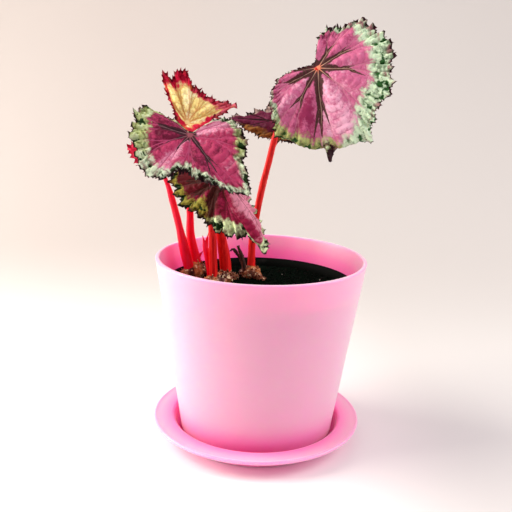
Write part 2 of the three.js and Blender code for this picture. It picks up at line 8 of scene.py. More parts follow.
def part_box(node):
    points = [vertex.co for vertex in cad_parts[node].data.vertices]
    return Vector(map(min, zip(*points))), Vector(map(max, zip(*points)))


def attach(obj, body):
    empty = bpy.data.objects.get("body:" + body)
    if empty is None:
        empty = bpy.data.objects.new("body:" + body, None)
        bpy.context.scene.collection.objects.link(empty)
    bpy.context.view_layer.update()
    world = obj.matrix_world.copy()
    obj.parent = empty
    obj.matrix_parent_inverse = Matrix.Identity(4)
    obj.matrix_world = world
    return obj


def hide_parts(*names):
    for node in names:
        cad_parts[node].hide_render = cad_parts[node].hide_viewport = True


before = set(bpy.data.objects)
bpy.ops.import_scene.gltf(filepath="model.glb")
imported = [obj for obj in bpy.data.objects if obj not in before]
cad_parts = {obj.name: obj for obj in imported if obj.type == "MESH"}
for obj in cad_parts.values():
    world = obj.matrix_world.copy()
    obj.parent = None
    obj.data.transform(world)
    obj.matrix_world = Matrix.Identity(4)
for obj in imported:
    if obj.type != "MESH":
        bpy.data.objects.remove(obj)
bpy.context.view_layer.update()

# The view: a 50 mm lens at arm's length, a little above the pot's rim, tipped slightly clockwise.
# Colours are shown as they are lit, without a film curve.
EYE = (-0.00324, -0.4298, 0.2237)
LENS = 50.37
DOWN = math.radians(14.07)
ROLL = math.radians(1.84)
scene = bpy.context.scene
scene.view_settings.view_transform = "Standard"
scene.view_settings.look = "None"
camera_data = bpy.data.cameras.new("camera")
camera_data.lens = LENS
camera_data.sensor_width = 36
camera = bpy.data.objects.new("camera", camera_data)
scene.collection.objects.link(camera)
scene.camera = camera
ahead = Vector((0, math.cos(DOWN), -math.sin(DOWN)))
above = Vector((0, math.sin(DOWN), math.cos(DOWN)))
right = math.cos(ROLL) * Vector((1, 0, 0)) + math.sin(ROLL) * above
turn = Matrix((right, (-ahead).cross(right), -ahead)).transposed()
camera.matrix_world = Matrix.Translation(EYE) @ turn.to_4x4()


# The room: one sheet of pale paper that runs along the table and curves up behind, lit by soft
# boxes on both sides. Further off it is darker, partly the wall's own beige and partly painted shade;
# on the right its colour holds painted shade near the pot and painted light far off.
SWEEP = {"half_width": 2.2, "front": -1.4, "bend_start": -0.3, "back": 1.1, "bend": 0.85, "height": 1.7,
         "steps": 24}
# its colours, and how far from left to right and from near to far they pass into each other; the
# darker near right colour is painted shade, the lighter far right colour painted light that evens out
# the key lamp's fall-off
PAPER = {"near_left": "f6f1f4", "painted_shade_near": "bcbab9", "far_left": "beb4b2", "painted_light_far": "c4bebd",
         "cloud": "d8c8c2"}
# spans in metres: painted shade on the near right, painted light on the far right, near to far
PAINTED_SHADE_SPAN, PAINTED_LIGHT_SPAN, FAR = (-0.01, 0.14), (-0.3, 0.2), (-0.05, 0.45)
HAZE, HAZE_STRENGTH = (1.0, 0.96, 0.95, 1), 0.56  # even light from all round


def node(tree, kind, values=None, **settings):
    """One node of a tree, with its inputs set to values or linked to sockets, or to the first
    socket of other nodes."""
    made = tree.nodes.new(kind)
    for key, value in settings.items():
        setattr(made, key, value)
    for key, value in (values or {}).items():
        if isinstance(value, bpy.types.Node):
            value = value.outputs[0]
        if isinstance(value, bpy.types.NodeSocket):
            tree.links.new(value, made.inputs[key])
        else:
            made.inputs[key].default_value = value
    return made


def new_material(name, **sockets):
    """A material with a Principled shader; constants go straight onto its sockets."""
    made = bpy.data.materials.new(name)
    made.use_nodes = True
    made.node_tree.nodes.clear()
    tree = made.node_tree
    shader = node(tree, "ShaderNodeBsdfPrincipled", {k.replace("_", " "): v for k, v in sockets.items()})
    node(tree, "ShaderNodeOutputMaterial", {"Surface": shader})
    return made, tree, shader


def srgb(text):
    """A colour written as it looks on screen, as the linear light that a shader works with."""
    parts = [int(text[i:i + 2], 16) / 255 for i in (0, 2, 4)]
    return [p / 12.92 if p < 0.04045 else ((p + 0.055) / 1.055) ** 2.4 for p in parts] + [1.0]


def tree_of(*values):
    """The tree that the first socket among these values belongs to."""
    return next(value.id_data for value in values if isinstance(value, bpy.types.NodeSocket))


def mix(factor, a, b):
    """Colour a where the factor is 0 and b where it is 1."""
    return node(tree_of(factor, a, b), "ShaderNodeMix", {0: factor, 6: a, 7: b}, data_type="RGBA").outputs[2]


def rises(value, low, high):
    """0 below low, 1 above high, eased between them."""
    return node(tree_of(value), "ShaderNodeMapRange", {"Value": value, "From Min": low, "From Max": high},
                interpolation_type="SMOOTHSTEP").outputs[0]


def calc(operation, a, b=0.0, c=0.0):
    """One sum of numbers, at least one of them a socket."""
    return node(tree_of(a, b, c), "ShaderNodeMath", {0: a, 1: b, 2: c}, operation=operation).outputs[0]


def times(a, b):
    return calc("MULTIPLY", a, b)


def speckle(place, scale, detail=3.0, roughness=0.55):
    """Soft random pattern between 0 and 1."""
    return node(tree_of(place), "ShaderNodeTexNoise", {"Vector": place, "Scale": scale, "Detail": detail,
                                                       "Roughness": roughness}).outputs["Fac"]


def place_of(tree):
    return node(tree, "ShaderNodeTexCoord").outputs["Object"]


def new_piece(mesh):
    """An object at the origin that shows a mesh under the mesh's name."""
    made = bpy.data.objects.new(mesh.name, mesh)
    scene.collection.objects.link(made)
    return made


def new_mesh(name, points, faces):
    """A smooth mesh object at the origin; points are in metres."""
    mesh = bpy.data.meshes.new(name)
    mesh.from_pydata(points, [], faces)
    mesh.polygons.foreach_set("use_smooth", np.ones(len(mesh.polygons), bool))
    mesh.update()
    return new_piece(mesh)


def build_sweep(half_width, front, bend_start, back, bend, height, steps):
    turns = [math.pi / 2 * i / steps for i in range(steps + 1)]
    curve = [(back - bend + bend * math.sin(a), bend * (1 - math.cos(a))) for a in turns]
    profile = [(front, 0.0), (bend_start, 0.0), *curve, (back, height)]
    points = [(x, y, z) for y, z in profile for x in (-half_width, half_width)]
    faces = [(i, i + 1, i + 3, i + 2) for i in range(0, 2 * len(profile) - 2, 2)]
    return new_mesh("sweep", points, faces)


def paint_sweep():
    made, tree, shader = new_material("pale_paper", Roughness=0.85)
    tone = {key: srgb(text) for key, text in PAPER.items()}
    place = place_of(tree)
    spot = node(tree, "ShaderNodeSeparateXYZ", {0: place}).outputs
    # painted shade on the near right, painted light on the far right
    shade = times(rises(spot["X"], *PAINTED_SHADE_SPAN), 0.65)
    near = mix(shade, tone["near_left"], tone["painted_shade_near"])
    far = mix(rises(spot["X"], *PAINTED_LIGHT_SPAN), tone["far_left"], tone["painted_light_far"])
    mottle = times(speckle(place, 9.0), 0.05)
    colour = mix(mottle, mix(rises(spot["Y"], *FAR), near, far), tone["cloud"])
    tree.links.new(colour, shader.inputs["Base Color"])
    return made


sweep = build_sweep(**SWEEP)
sweep.data.materials.append(paint_sweep())

# name: place, point looked at, width, height, watts, colour
SOFT_BOXES = {
    "key": ((-1.0, 0.0, 0.72), (0, 0, 0.12), 0.9, 0.9, 22.0, (1.0, 0.96, 0.83)),
    "side": ((-0.95, 0.2, 0.1), (0, 0, 0.08), 0.5, 0.4, 3.5, (1.0, 0.98, 0.88)),
    "fill": ((0.95, -0.1, 0.75), (0, 0, 0.12), 0.7, 0.7, 10.0, (1.0, 0.98, 0.98)),
}
for name, (place, aim, width, height, watts, tint) in SOFT_BOXES.items():
    light = bpy.data.lights.new(name, "AREA")
    light.shape = "RECTANGLE"
    light.size, light.size_y, light.energy, light.color = width, height, watts, tint
    box = bpy.data.objects.new(name, light)
    box.location = place
    box.rotation_euler = (Vector(place) - Vector(aim)).to_track_quat("Z", "Y").to_euler()
    scene.collection.objects.link(box)

world = bpy.data.worlds.new("world")
world.use_nodes = True
haze = world.node_tree.nodes["Background"].inputs
haze["Color"].default_value, haze["Strength"].default_value = HAZE, HAZE_STRENGTH
scene.world = world


# The saucer and the pot: injection moulded pink plastic, smooth with a satin skin.
# Each is one round shell; the pot stands loose on the saucer's flat floor.
MM = 0.001
ROUND_STEPS = 192  # round each shell
# a ring that it stands on, a steep well round the pot's foot, a flat rim and a rounded lip, in
# millimetres
SAUCER = {"floor": 2.2, "hollow": 0.5, "foot": 50.6, "ring": 4.0, "knee": (53.0, 3.4), "neck": 54.4,
          "rim": 11.9, "lip_inset": 3.5, "wall": 2.0, "edge": 1.1, "recess": 2.5, "bend": 2.5,
          "fillet": 1.2}
# painted shade: the pink is deeper below this height and up to so far beyond the neck, where it fades out
PAINTED_WELL_SHADE = {"height": 6, "beyond": 4.5, "fade": 5}


def arc(r, z, radius, start, end, steps):
    """Points on an arc round (r, z), in degrees from outwards towards up."""
    turns = [math.radians(start + (end - start) * i / steps) for i in range(steps + 1)]
    return [(r + radius * math.cos(a), z + radius * math.sin(a)) for a in turns]


def mark(mesh, **fields):
    """Keeps a number or a vector for each point of a mesh, for the trees and materials to read."""
    for key, values in fields.items():
        values = np.asarray(values, np.float32)
        kind, part = ("FLOAT", "value") if values.ndim == 1 else ("FLOAT_VECTOR", "vector")
        mesh.attributes.new(key, kind, "POINT").data.foreach_set(part, values.ravel())


def web(rings, spokes, first=0):
    """Four-sided faces between each ring of points and the next; the rings start at point first."""
    j = np.arange(spokes)
    k = (j + 1) % spokes
    row = first + spokes * np.arange(rings - 1)[:, None]
    return np.stack([row + j, row + spokes + j, row + spokes + k, row + k], -1).reshape(-1, 4)


def fan(hub, first, spokes):
    """Three-sided faces from a hub point to a ring of points that starts at point first."""
    j = first + np.arange(spokes)
    return np.stack([np.full(spokes, hub), j, np.roll(j, -1)], 1)


def turned_shell(name, outline, sheltered=None):
    """A closed shell turned about the upright axis; the outline runs from the axis below,
    out and up the outside, over the lip and back to the axis inside. It is in millimetres.
    The last argument gives how much painted shade each of its points gets, a deeper colour where it faces
    other plastic, 0 to 1."""
    body = np.array(outline[1:-1]) * MM
    a = np.arange(ROUND_STEPS) * 2 * math.pi / ROUND_STEPS
    circle = np.stack([np.cos(a), np.sin(a)], 1)
    points = [np.column_stack([circle * r, np.full(ROUND_STEPS, z)]) for r, z in body]
    points = np.concatenate(points + [[[0, 0, outline[end][1] * MM]] for end in (0, -1)])
    low, high = len(points) - 2, len(points) - 1
    bottom, side = fan(low, 0, ROUND_STEPS), web(len(body), ROUND_STEPS)
    top = fan(high, low - ROUND_STEPS, ROUND_STEPS)
    faces = bottom[:, ::-1].tolist() + side[:, ::-1].tolist() + top.tolist()
    made = new_mesh(name, points.tolist(), faces)
    if sheltered:
        ends = [sheltered[0], sheltered[-1]]
        mark(made.data, sheltered=np.concatenate([np.repeat(sheltered[1:-1], ROUND_STEPS), ends]))
    return made


def new_group(name, family, inputs, outputs):
    """A group of nodes with named sockets, listed by their kind; returns its two ends too."""
    tree = bpy.data.node_groups.new(name, family)
    for way, kinds in (("INPUT", inputs), ("OUTPUT", outputs)):
        for kind, labels in kinds.items():
            for label in labels:
                tree.interface.new_socket(label, in_out=way, socket_type="NodeSocket" + kind)
    return tree, tree.nodes.new("NodeGroupInput").outputs, tree.nodes.new("NodeGroupOutput").inputs


def new_tree(name, floats, whole):
    """A geometry tree with its geometry, named numbers and a material as inputs; returns the tree,
    its inputs and a function that makes the last geometry a plain mesh with that material."""
    tree, value, end = new_group(name, "GeometryNodeTree", {
        "Geometry": ["Geometry"], "Float": floats, "Int": whole, "Material": ["Material"],
    }, {"Geometry": ["Geometry"]})

    def finish_with(shape, smooth=False):
        shape = node(tree, "GeometryNodeRealizeInstances", {"Geometry": shape})
        if smooth:
            shape = node(tree, "GeometryNodeSetShadeSmooth", {"Geometry": shape, "Shade Smooth": True})
        shape = node(tree, "GeometryNodeSetMaterial", {"Geometry": shape, "Material": value["Material"]})
        tree.links.new(shape.outputs[0], end[0])
        return tree

    return tree, value, finish_with


def grown(piece, tree, **values):
    """Runs a geometry tree on a piece, keeps the result as a plain mesh and drops the modifier."""
    modifier = piece.modifiers.new("grow", "NODES")
    modifier.node_group = tree
    for item in tree.interface.items_tree:
        label = item.name.replace(" ", "_").lower()
        if item.in_out == "INPUT" and label in values:
            modifier[item.identifier] = values[label]
    piece.update_tag()
    bpy.context.view_layer.update()
    made = bpy.data.meshes.new_from_object(piece.evaluated_get(bpy.context.evaluated_depsgraph_get()))
    piece.modifiers.clear()
    piece.data = made
    made.name = piece.name
    return piece


def combined(tree, **parts):
    """A vector from its parts."""
    return node(tree, "ShaderNodeCombineXYZ", parts).outputs[0]


def drain_tree():
    """Cuts a ring of round drain holes through the floor of a pot."""
    tree, value, finish_with = new_tree("drain_holes", ["Ring Radius", "Hole Radius", "Height", "Depth"],
                                        ["Count"])
    ring = node(tree, "GeometryNodeMeshCircle", {"Vertices": value["Count"], "Radius": value["Ring Radius"]})
    half_step = calc("DIVIDE", math.pi, value["Count"])
    placed = node(tree, "GeometryNodeTransform", {"Geometry": ring, "Rotation": combined(tree, Z=half_step),
                                                  "Translation": combined(tree, Z=value["Height"])})
    drill = node(tree, "GeometryNodeMeshCylinder", {"Vertices": 32, "Radius": value["Hole Radius"],
                                                    "Depth": value["Depth"]})
    drills = node(tree, "GeometryNodeInstanceOnPoints", {"Points": placed, "Instance": drill})
    solid = node(tree, "GeometryNodeRealizeInstances", {"Geometry": drills})
    return finish_with(node(tree, "GeometryNodeMeshBoolean", {"Mesh 1": value["Geometry"], "Mesh 2": solid},
                            operation="DIFFERENCE"))


def new_skin(name, colours, floats):
    """A group of shader nodes with named colours and numbers as inputs; returns the group, its
    inputs and a function that joins its colour, roughness and relief to its outputs."""
    group, value, end = new_group(name, "ShaderNodeTree", {"Color": colours, "Float": floats},
                                  {"Color": ["Colour"], "Float": ["Roughness"], "Vector": ["Normal"]})

    def finish_with(colour, rough, height, strength, depth):
        bump = node(group, "ShaderNodeBump", {"Strength": strength, "Distance": depth, "Height": height})
        for socket, label in ((colour, "Colour"), (rough, "Roughness"), (bump.outputs[0], "Normal")):
            group.links.new(socket, end[label])
        return group

    return group, value, finish_with


def read(tree, name, part="Fac"):
    """What a piece's points keep under this name."""
    return node(tree, "ShaderNodeAttribute", attribute_name=name).outputs[part]


def moulded_skin():
    """Skin of a moulded plastic: a faint mottle, a fine grain, a few rubbed patches, and painted shade: a
    deeper colour where the shell's points are marked as facing other plastic.
    """
    group, value, finish_with = new_skin("moulded_skin", ["Colour", "Shade", "Deep"],
                                         ["Grain", "Dust", "Gloss"])
    place = place_of(group)
    cloud = speckle(place, 22.0, 3.0)
    fine = speckle(place, value["Grain"], 2.0)
    rubbed = rises(speckle(place, 60.0, 5.0, 0.65), 0.58, 0.72)
    body = mix(cloud, value["Colour"], value["Shade"])
    # painted shade: the deeper colour where the shell faces other plastic
    body = mix(read(group, "sheltered"), body, value["Deep"])
    colour = mix(times(rubbed, value["Dust"]), body, srgb("d9d2cf"))
    rough = calc("MULTIPLY_ADD", fine, 0.12, value["Gloss"])
    rough = calc("MULTIPLY_ADD", rubbed, 0.05, rough)
    return finish_with(colour, rough, fine, strength=0.25, depth=0.1 * MM)


def wear(made, tree, shader, group, **values):
    """Puts a skin group into a material and feeds the shader from it."""
    skin = node(tree, "ShaderNodeGroup", node_tree=group)
    for key, value in values.items():
        skin.inputs[key.replace("_", " ")].default_value = srgb(value) if isinstance(value, str) else value
    for label, socket in (("Colour", "Base Color"), ("Roughness", "Roughness"), ("Normal", "Normal")):
        tree.links.new(skin.outputs[label], shader.inputs[socket])
    return made


def settle(piece, slot, *nodes):
    """The finished piece stands in the one body for these CAD nodes."""
    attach(piece, "root")
    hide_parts(*nodes)


plastic = moulded_skin()
# Deep is the deeper pink painted as shade in the saucer's well, under the saucer, inside the pot and low on
# its outside
pink = wear(*new_material("pink_plastic", Subsurface_Weight=0.75, Subsurface_Scale=0.009,
                          Subsurface_Radius=(1.0, 0.15, 0.75), Specular_IOR_Level=0.7, Coat_Weight=0.8,
                          Coat_Roughness=0.45, Sheen_Weight=0.6, Sheen_Roughness=0.5),
            plastic, Colour="f09abc", Shade="ec92b5", Deep="fa2ca8", Grain=1400.0, Dust=0.05, Gloss=0.4)

saucer_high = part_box("saucer")[1] / MM


def saucer_outline(floor, hollow, foot, ring, knee, neck, rim, lip_inset, wall, edge, recess, bend,
                   fillet):
    lip, top = saucer_high.x, saucer_high.z
    inner = foot - ring
    return [(0, hollow), (inner - 1.2, hollow), (inner - 0.4, hollow - 0.08), (inner, 0),
            *arc(foot - edge, edge, edge, -90, -45, 4), (knee[0] - 0.4, knee[1] - 0.5),
            (knee[0] + 0.2, knee[1] + 0.6), *arc(neck + fillet, rim - wall - fillet, fillet, 180, 90, 6),
            *arc(lip - edge, top - edge, edge, -70, 125, 14), (lip - lip_inset + 0.6, rim + 0.03),
            (lip - lip_inset - 1, rim), *arc(neck - wall + bend, rim - bend, bend, 90, 180, 12),
            *arc(foot - wall, floor + recess, recess, -20, -90, 8), (0, floor)]


def saucer_painted_shade(r, z):
    """How much painted shade, a deeper pink, a point of the outline gets: where it faces the pot, and below
    a height.
    """
    inward = np.clip((SAUCER["neck"] + PAINTED_WELL_SHADE["beyond"] - r) / PAINTED_WELL_SHADE["fade"], 0, 1)
    return float(max(inward, z < PAINTED_WELL_SHADE["height"]))


saucer_line = saucer_outline(**SAUCER)
saucer = turned_shell("pink_saucer", saucer_line, sheltered=[saucer_painted_shade(*spot) for spot in saucer_line])
saucer.data.materials.append(pink)
settle(saucer, "pink_pot", "saucer")

POT = {"floor": 3.0, "wall": 2.6, "corner": 4.2, "edge": 0.8, "inside": 3.0, "taper": 0.149,
       "side_steps": 24}
# painted shade: inside, the pink deepens from so far below the rim over so much; outside, from this height
# down
PAINTED_POT_SHADE = {"inside": (5, 10), "outside": (24, 18), "most": 0.72}
pot_low, pot_high = (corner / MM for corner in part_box("pot"))


def pot_outline(floor, wall, corner, edge, inside, taper, side_steps):
    rim, top, bottom = pot_high.x, pot_high.z, pot_low.z
    lean = math.degrees(math.atan(taper))
    outer = lambda z: rim - (top - z) * taper
    bed = bottom + floor
    side = [(outer(z), z) for z in np.linspace(bottom + corner + 2, top - edge - 1, side_steps)]
    back = [(r - wall, z) for r, z in side[::-1] if z > bed + inside + 1]
    return [(0, bottom), *arc(outer(bottom + corner) - corner, bottom + corner, corner, -90, -lean, 10),
            *side, *arc(rim - edge, top - edge, edge, -lean, 90, 6),
            *arc(rim - wall + edge, top - edge, edge, 90, 180 - lean, 6), *back,
            *arc(outer(bed + inside) - wall - inside, bed + inside, inside, -lean, -90, 6), (0, bed)]


DRAIN = {"ring_radius": 26 * MM, "hole_radius": 4 * MM, "depth": 12 * MM, "count": 4}
drain = drain_tree()
pot_line = pot_outline(**POT)
turn_over = pot_line.index(max(pot_line, key=lambda spot: spot[1]))


def pot_painted_shade(i, z):
    """How much painted shade, a deeper pink, a point of the outline gets where it faces the inside of the
    pot or the saucer's well.
    """
    edge, over = PAINTED_POT_SHADE["inside" if i > turn_over else "outside"]
    depth = pot_high.z - z - edge if i > turn_over else edge - z
    return float(np.clip(depth / over, 0, PAINTED_POT_SHADE["most"]))


pot = turned_shell("pink_pot", pot_line, sheltered=[pot_painted_shade(i, z) for i, (_, z) in enumerate(pot_line)])
grown(pot, drain, height=pot_low.z * MM, material=pink, **DRAIN)
settle(pot, "pink_pot", "pot")


# The nursery pot: thin black plastic, formed with a turned-out lip, dropped into the pink pot.
# Potting dust clings to its inside.
# shoulder: how far the wall has run in, and how far below the neck that is
NURSERY = {"lip_depth": 2.8, "body": 57.4, "base": 43.6, "wall": 1.2, "corner": 1.2,
           "shoulder": (0.3, 1.5)}
black = wear(*new_material("black_plastic", Specular_IOR_Level=0.04), plastic, Colour="060907",
             Shade="030504", Grain=900.0, Dust=0.015, Gloss=0.6)
nursery_low, nursery_high = (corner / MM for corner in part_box("nursery_pot"))


def nursery_outline(lip_depth, body, base, wall, corner, shoulder):
    bottom, top, neck = nursery_low.z, nursery_high.z, nursery_high.z - lip_depth
    bed = bottom + wall
    lip = (nursery_high.x - body) / 2
    run_in, below = shoulder[0], neck - shoulder[1]
    return [(0, bottom), *arc(base - corner, bottom + corner, corner, -90, 0, 4),
            (body - run_in, below), (body, neck), (body + lip, neck + 0.35),
            *arc(nursery_high.x - lip, top - lip, lip, -60, 120, 10), (body - wall, neck),
            (body - wall - run_in, below), *arc(base - wall - corner, bed + corner, corner, 0, -90, 4),
            (0, bed)]


nursery = grown(turned_shell("nursery_pot_black", nursery_outline(**NURSERY)), drain,
                height=nursery_low.z * MM, material=black, **DRAIN)
settle(nursery, "black_pot", "nursery_pot")


# The soil: dark damp potting mix, filled to just under the nursery pot's lip.
# Its crust is uneven, with crumbs of bark and a few pale grains loose on top.
SOIL = {"level": 95.5, "drop": 0.9, "swell": 0.7, "lumps": 1.1, "calm_rings": 6, "bottom_radius": 41.0,
        "crumbs_from": 93.9, "rings": 80, "spokes": 240}
soil_low, soil_high = (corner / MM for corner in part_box("soil"))


def soil_height(x, y):
    """Height of the crust at a spot, in millimetres."""
    broad = math.sin(0.31 * x + 1.3) * math.cos(0.27 * y)
    low = 0.6 * math.sin(0.83 * x + 0.71 * y) * math.sin(0.66 * x - 0.9 * y)
    lumps = noise.fractal(Vector((x, y, 0)) * 0.45, 0.8, 2.1, 4)
    return SOIL["level"] + SOIL["swell"] * (broad + low) + SOIL["lumps"] * lumps


def build_soil():
    """The crust, ring by ring, its steep side and its flat bottom."""
    rings, spokes, brim = SOIL["rings"], SOIL["spokes"], SOIL["level"] - SOIL["drop"]
    rays = [(math.cos(2 * math.pi * j / spokes), math.sin(2 * math.pi * j / spokes)) for j in range(spokes)]
    points = [(0, 0, soil_height(0, 0))]
    for i in range(1, rings + 1):
        r = soil_high.x * i / rings
        calm = min(1, (rings - i) / SOIL["calm_rings"])
        points += [(r * u, r * v, soil_height(r * u, r * v) * calm + brim * (1 - calm)) for u, v in rays]
    points += [(SOIL["bottom_radius"] * u, SOIL["bottom_radius"] * v, soil_low.z) for u, v in rays]
    points.append((0, 0, soil_low.z))
    bottom = fan(len(points) - 1, len(points) - 1 - spokes, spokes)[:, ::-1]
    faces = [*fan(0, 1, spokes).tolist(), *web(rings + 1, spokes, 1).tolist(), *bottom.tolist()]
    return new_mesh("potting_soil", (np.array(points) * MM).tolist(), faces)


def vector(operation, a, b):
    """Sum or difference of two vectors, or a vector scaled by a number."""
    return node(tree_of(a, b), "ShaderNodeVectorMath", {0: a, 3 if operation == "SCALE" else 1: b},
                operation=operation).outputs[0]


def chance(tree, low, high, seed):
    """A random number or vector for each copy, between low and high."""
    first = 0 if isinstance(low, tuple) else 2
    return node(tree, "FunctionNodeRandomValue", {first: low, first + 1: high, "Seed": seed},
                data_type="FLOAT" if first else "FLOAT_VECTOR").outputs[first // 2]


def crumb_tree():
    """Scatters rough lumps of twenty faces on the top of a bed of soil."""
    tree, value, finish_with = new_tree("crumbs", ["Density", "Size", "Top Height"], ["Seed"])
    spot = node(tree, "GeometryNodeInputPosition").outputs[0]
    height = node(tree, "ShaderNodeSeparateXYZ", {0: spot}).outputs["Z"]
    on_top = calc("GREATER_THAN", height, value["Top Height"])
    spread = node(tree, "GeometryNodeDistributePointsOnFaces",
                  {"Mesh": value["Geometry"], "Selection": on_top, "Density": value["Density"],
                   "Seed": value["Seed"]})
    ball = node(tree, "GeometryNodeMeshIcoSphere", {"Radius": value["Size"], "Subdivisions": 1})
    bumps = node(tree, "ShaderNodeTexNoise", {"Scale": 700.0, "Detail": 1.0})
    push = vector("SCALE", vector("SUBTRACT", bumps.outputs["Color"], (0.5, 0.5, 0.5)), 2.2 * MM)
    lump = node(tree, "GeometryNodeSetPosition", {"Geometry": ball, "Offset": push})
    placed = node(tree, "GeometryNodeInstanceOnPoints",
                  {"Points": spread, "Instance": lump,
                   "Rotation": chance(tree, (0.0,) * 3, (6.28,) * 3, value["Seed"]),
                   "Scale": chance(tree, (0.35, 0.3, 0.25), (1.5, 0.9, 0.7), seed=7)})
    return finish_with(placed, smooth=True)


def earth(name, dark, light, pale, gloss):
    """Damp earth: two browns, paler where it dries on the high spots, with gritty relief."""
    made, tree, shader = new_material(name, Specular_IOR_Level=0.03)
    place = place_of(tree)
    grit = speckle(place, 900.0, 5.0, 0.7)
    patch = speckle(place, 130.0, 3.0)
    colour = mix(rises(patch, 0.4, 0.7), srgb(dark), srgb(light))
    colour = mix(rises(grit, 0.66, 0.78), colour, srgb(pale))
    rough = calc("MULTIPLY_ADD", patch, 0.35, gloss)
    bump = node(tree, "ShaderNodeBump", {"Strength": 0.7, "Distance": 0.6 * MM, "Height": grit})
    for socket, label in ((colour, "Base Color"), (rough, "Roughness"), (bump.outputs[0], "Normal")):
        tree.links.new(socket, shader.inputs[label])
    return made


soil = build_soil()
soil.data.materials.append(earth("potting_mix", "000803", "020e06", "0a1a0e", 0.6))
settle(soil, "soil", "soil")
# density per square metre, size in millimetres, seed, material
CRUMBS = {"soil_crumbs": (240000, 1.0, 3, earth("bark_crumbs", "010803", "05100a", "1a2014", 0.55)),
          "soil_grains": (4500, 0.75, 11, earth("pale_grains", "8d857c", "a49c92", "bdb6ad", 0.6))}
crumbs = crumb_tree()
for name, (density, size, seed, stuff) in CRUMBS.items():
    bed = soil.data.copy()
    bed.name = name
    loose = grown(new_piece(bed), crumbs, density=density, size=size * MM,
                  top_height=SOIL["crumbs_from"] * MM, seed=seed, material=stuff)
    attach(loose, "root")


# The rhizomes: three stubby stems that creep along the soil, woody and knobby, half buried.
# Old leaf scars, rootlets and dry brown scales cover them.

# path, and radius at even steps along it, in millimetres
RHIZOMES = {
    "left": ([(-48.6, 13.2, 99.4), (-44.4, 17, 100), (-40, 20.6, 99.9), (-35.3, 22.4, 98)],
             (3.6, 5.4, 5.4, 2.6)),
    "middle": ([(-38.5, 3, 94), (-30, 8, 96.2), (-19, 18.5, 96.2), (-15.5, 21.5, 94)], (2.4, 5, 5, 2.4)),
    "right": ([(-11.4, 27, 97.2), (-6.8, 24.8, 98.2), (-2.4, 21.4, 97.4), (1.8, 17.8, 95.8)],
              (3.4, 5.2, 3.2, 1.6)),
}
# how far past an end, and how wide, the three rings that round it off are, for its radius
DOME = {"reach": np.array([0.36, 0.64, 0.8]), "width": np.array([0.85, 0.5, 0.05])}


def eased(values, t):
    """Value at t of a run of evenly spaced values, with level steps at each."""
    place = np.clip(np.asarray(t), 0, 1) * (len(values) - 1)
    k = np.minimum(place.astype(int), len(values) - 2)
    f = place - k
    f = f * f * (3 - 2 * f)
    v = np.array(values, float)
    return v[k] * (1 - f) + v[k + 1] * f


def unit(v):
    v = np.array(v, float)
    return v / np.linalg.norm(v)


def centre_line(path, steps):
    """Even steps along a smooth curve through the points of a path."""
    p = [np.array(q, float) for q in path]
    p = [2 * p[0] - p[1], *p, 2 * p[-1] - p[-2]]
    line = []
    u = np.linspace(0, 1, 20, endpoint=False)[:, None]
    for a, b, c, d in zip(p, p[1:], p[2:], p[3:]):
        ta, tb, tc = (max(np.linalg.norm(f) ** 0.5, 1e-4) for f in (b - a, c - b, d - c))
        enter = ((b - a) / ta - (c - a) / (ta + tb) + (c - b) / tb) * tb
        leave = ((c - b) / tb - (d - b) / (tb + tc) + (d - c) / tc) * tb
        line.append(b * (2 * u**3 - 3 * u**2 + 1) + enter * (u**3 - 2 * u**2 + u)
                    + c * (3 * u**2 - 2 * u**3) + leave * (u**3 - u**2))
    line = np.concatenate([*line, p[-2][None]])
    length = np.r_[0, np.cumsum(np.linalg.norm(np.diff(line, axis=0), axis=1))]
    at = np.linspace(0, length[-1], steps + 1)
    return np.column_stack([np.interp(at, length, line[:, i]) for i in range(3)])


def stem_line(name, strands, steps, domed=False):
    """A mesh of bare lines for the stem tree, with each point's radius and share of the way."""
    points, edges, girth, along = [], [], [], []
    for path, radii in strands:
        line = centre_line(path, steps)
        t = np.linspace(0, 1, steps + 1)
        radius = eased(radii, t)
        if domed:
            foot, head = (unit(line[i] - line[j]) * r * DOME["reach"][:, None]
                          for i, j, r in ((0, 1, radii[0]), (-1, -2, radii[-1])))
            line = np.concatenate([(line[0] + foot)[::-1], line, line[-1] + head])
            radius = np.r_[radius[0] * DOME["width"][::-1], radius, radius[-1] * DOME["width"]]
            t = np.r_[0, 0, 0, t, 1, 1, 1]
        first = len(points)
        points += (line * MM).tolist()
        edges += [(first + i, first + i + 1) for i in range(len(line) - 1)]
        girth += (radius * MM).tolist()
        along += t.tolist()
    mesh = bpy.data.meshes.new(name)
    mesh.from_pydata(points, edges, [])
    mark(mesh, girth=girth, along=along)
    return new_piece(mesh)


def stored(tree, name, kind="FLOAT"):
    """What a mesh's points keep under this name, in a geometry tree."""
    return node(tree, "GeometryNodeInputNamedAttribute", {"Name": name}, data_type=kind).outputs[0]


def planted(tree, spots, shape, lean, stray, size, seed):
    """Copies of a shape on spots, each pointing along lean with a random stray."""
    aim = vector("ADD", lean, chance(tree, (-stray,) * 3, (stray,) * 3, seed))
    facing = node(tree, "FunctionNodeAlignRotationToVector", {"Vector": aim}, axis="Z").outputs[0]
    return node(tree, "GeometryNodeInstanceOnPoints",
                {"Points": spots, "Instance": shape, "Rotation": facing, "Scale": size}).outputs[0]


def joined(tree, *shapes):
    both = node(tree, "GeometryNodeJoinGeometry")
    for shape in shapes:
        tree.links.new(shape, both.inputs[0])
    return both.outputs[0]


def plus(a, b):
    return calc("ADD", a, b)


def minus(a, b):
    return calc("SUBTRACT", a, b)


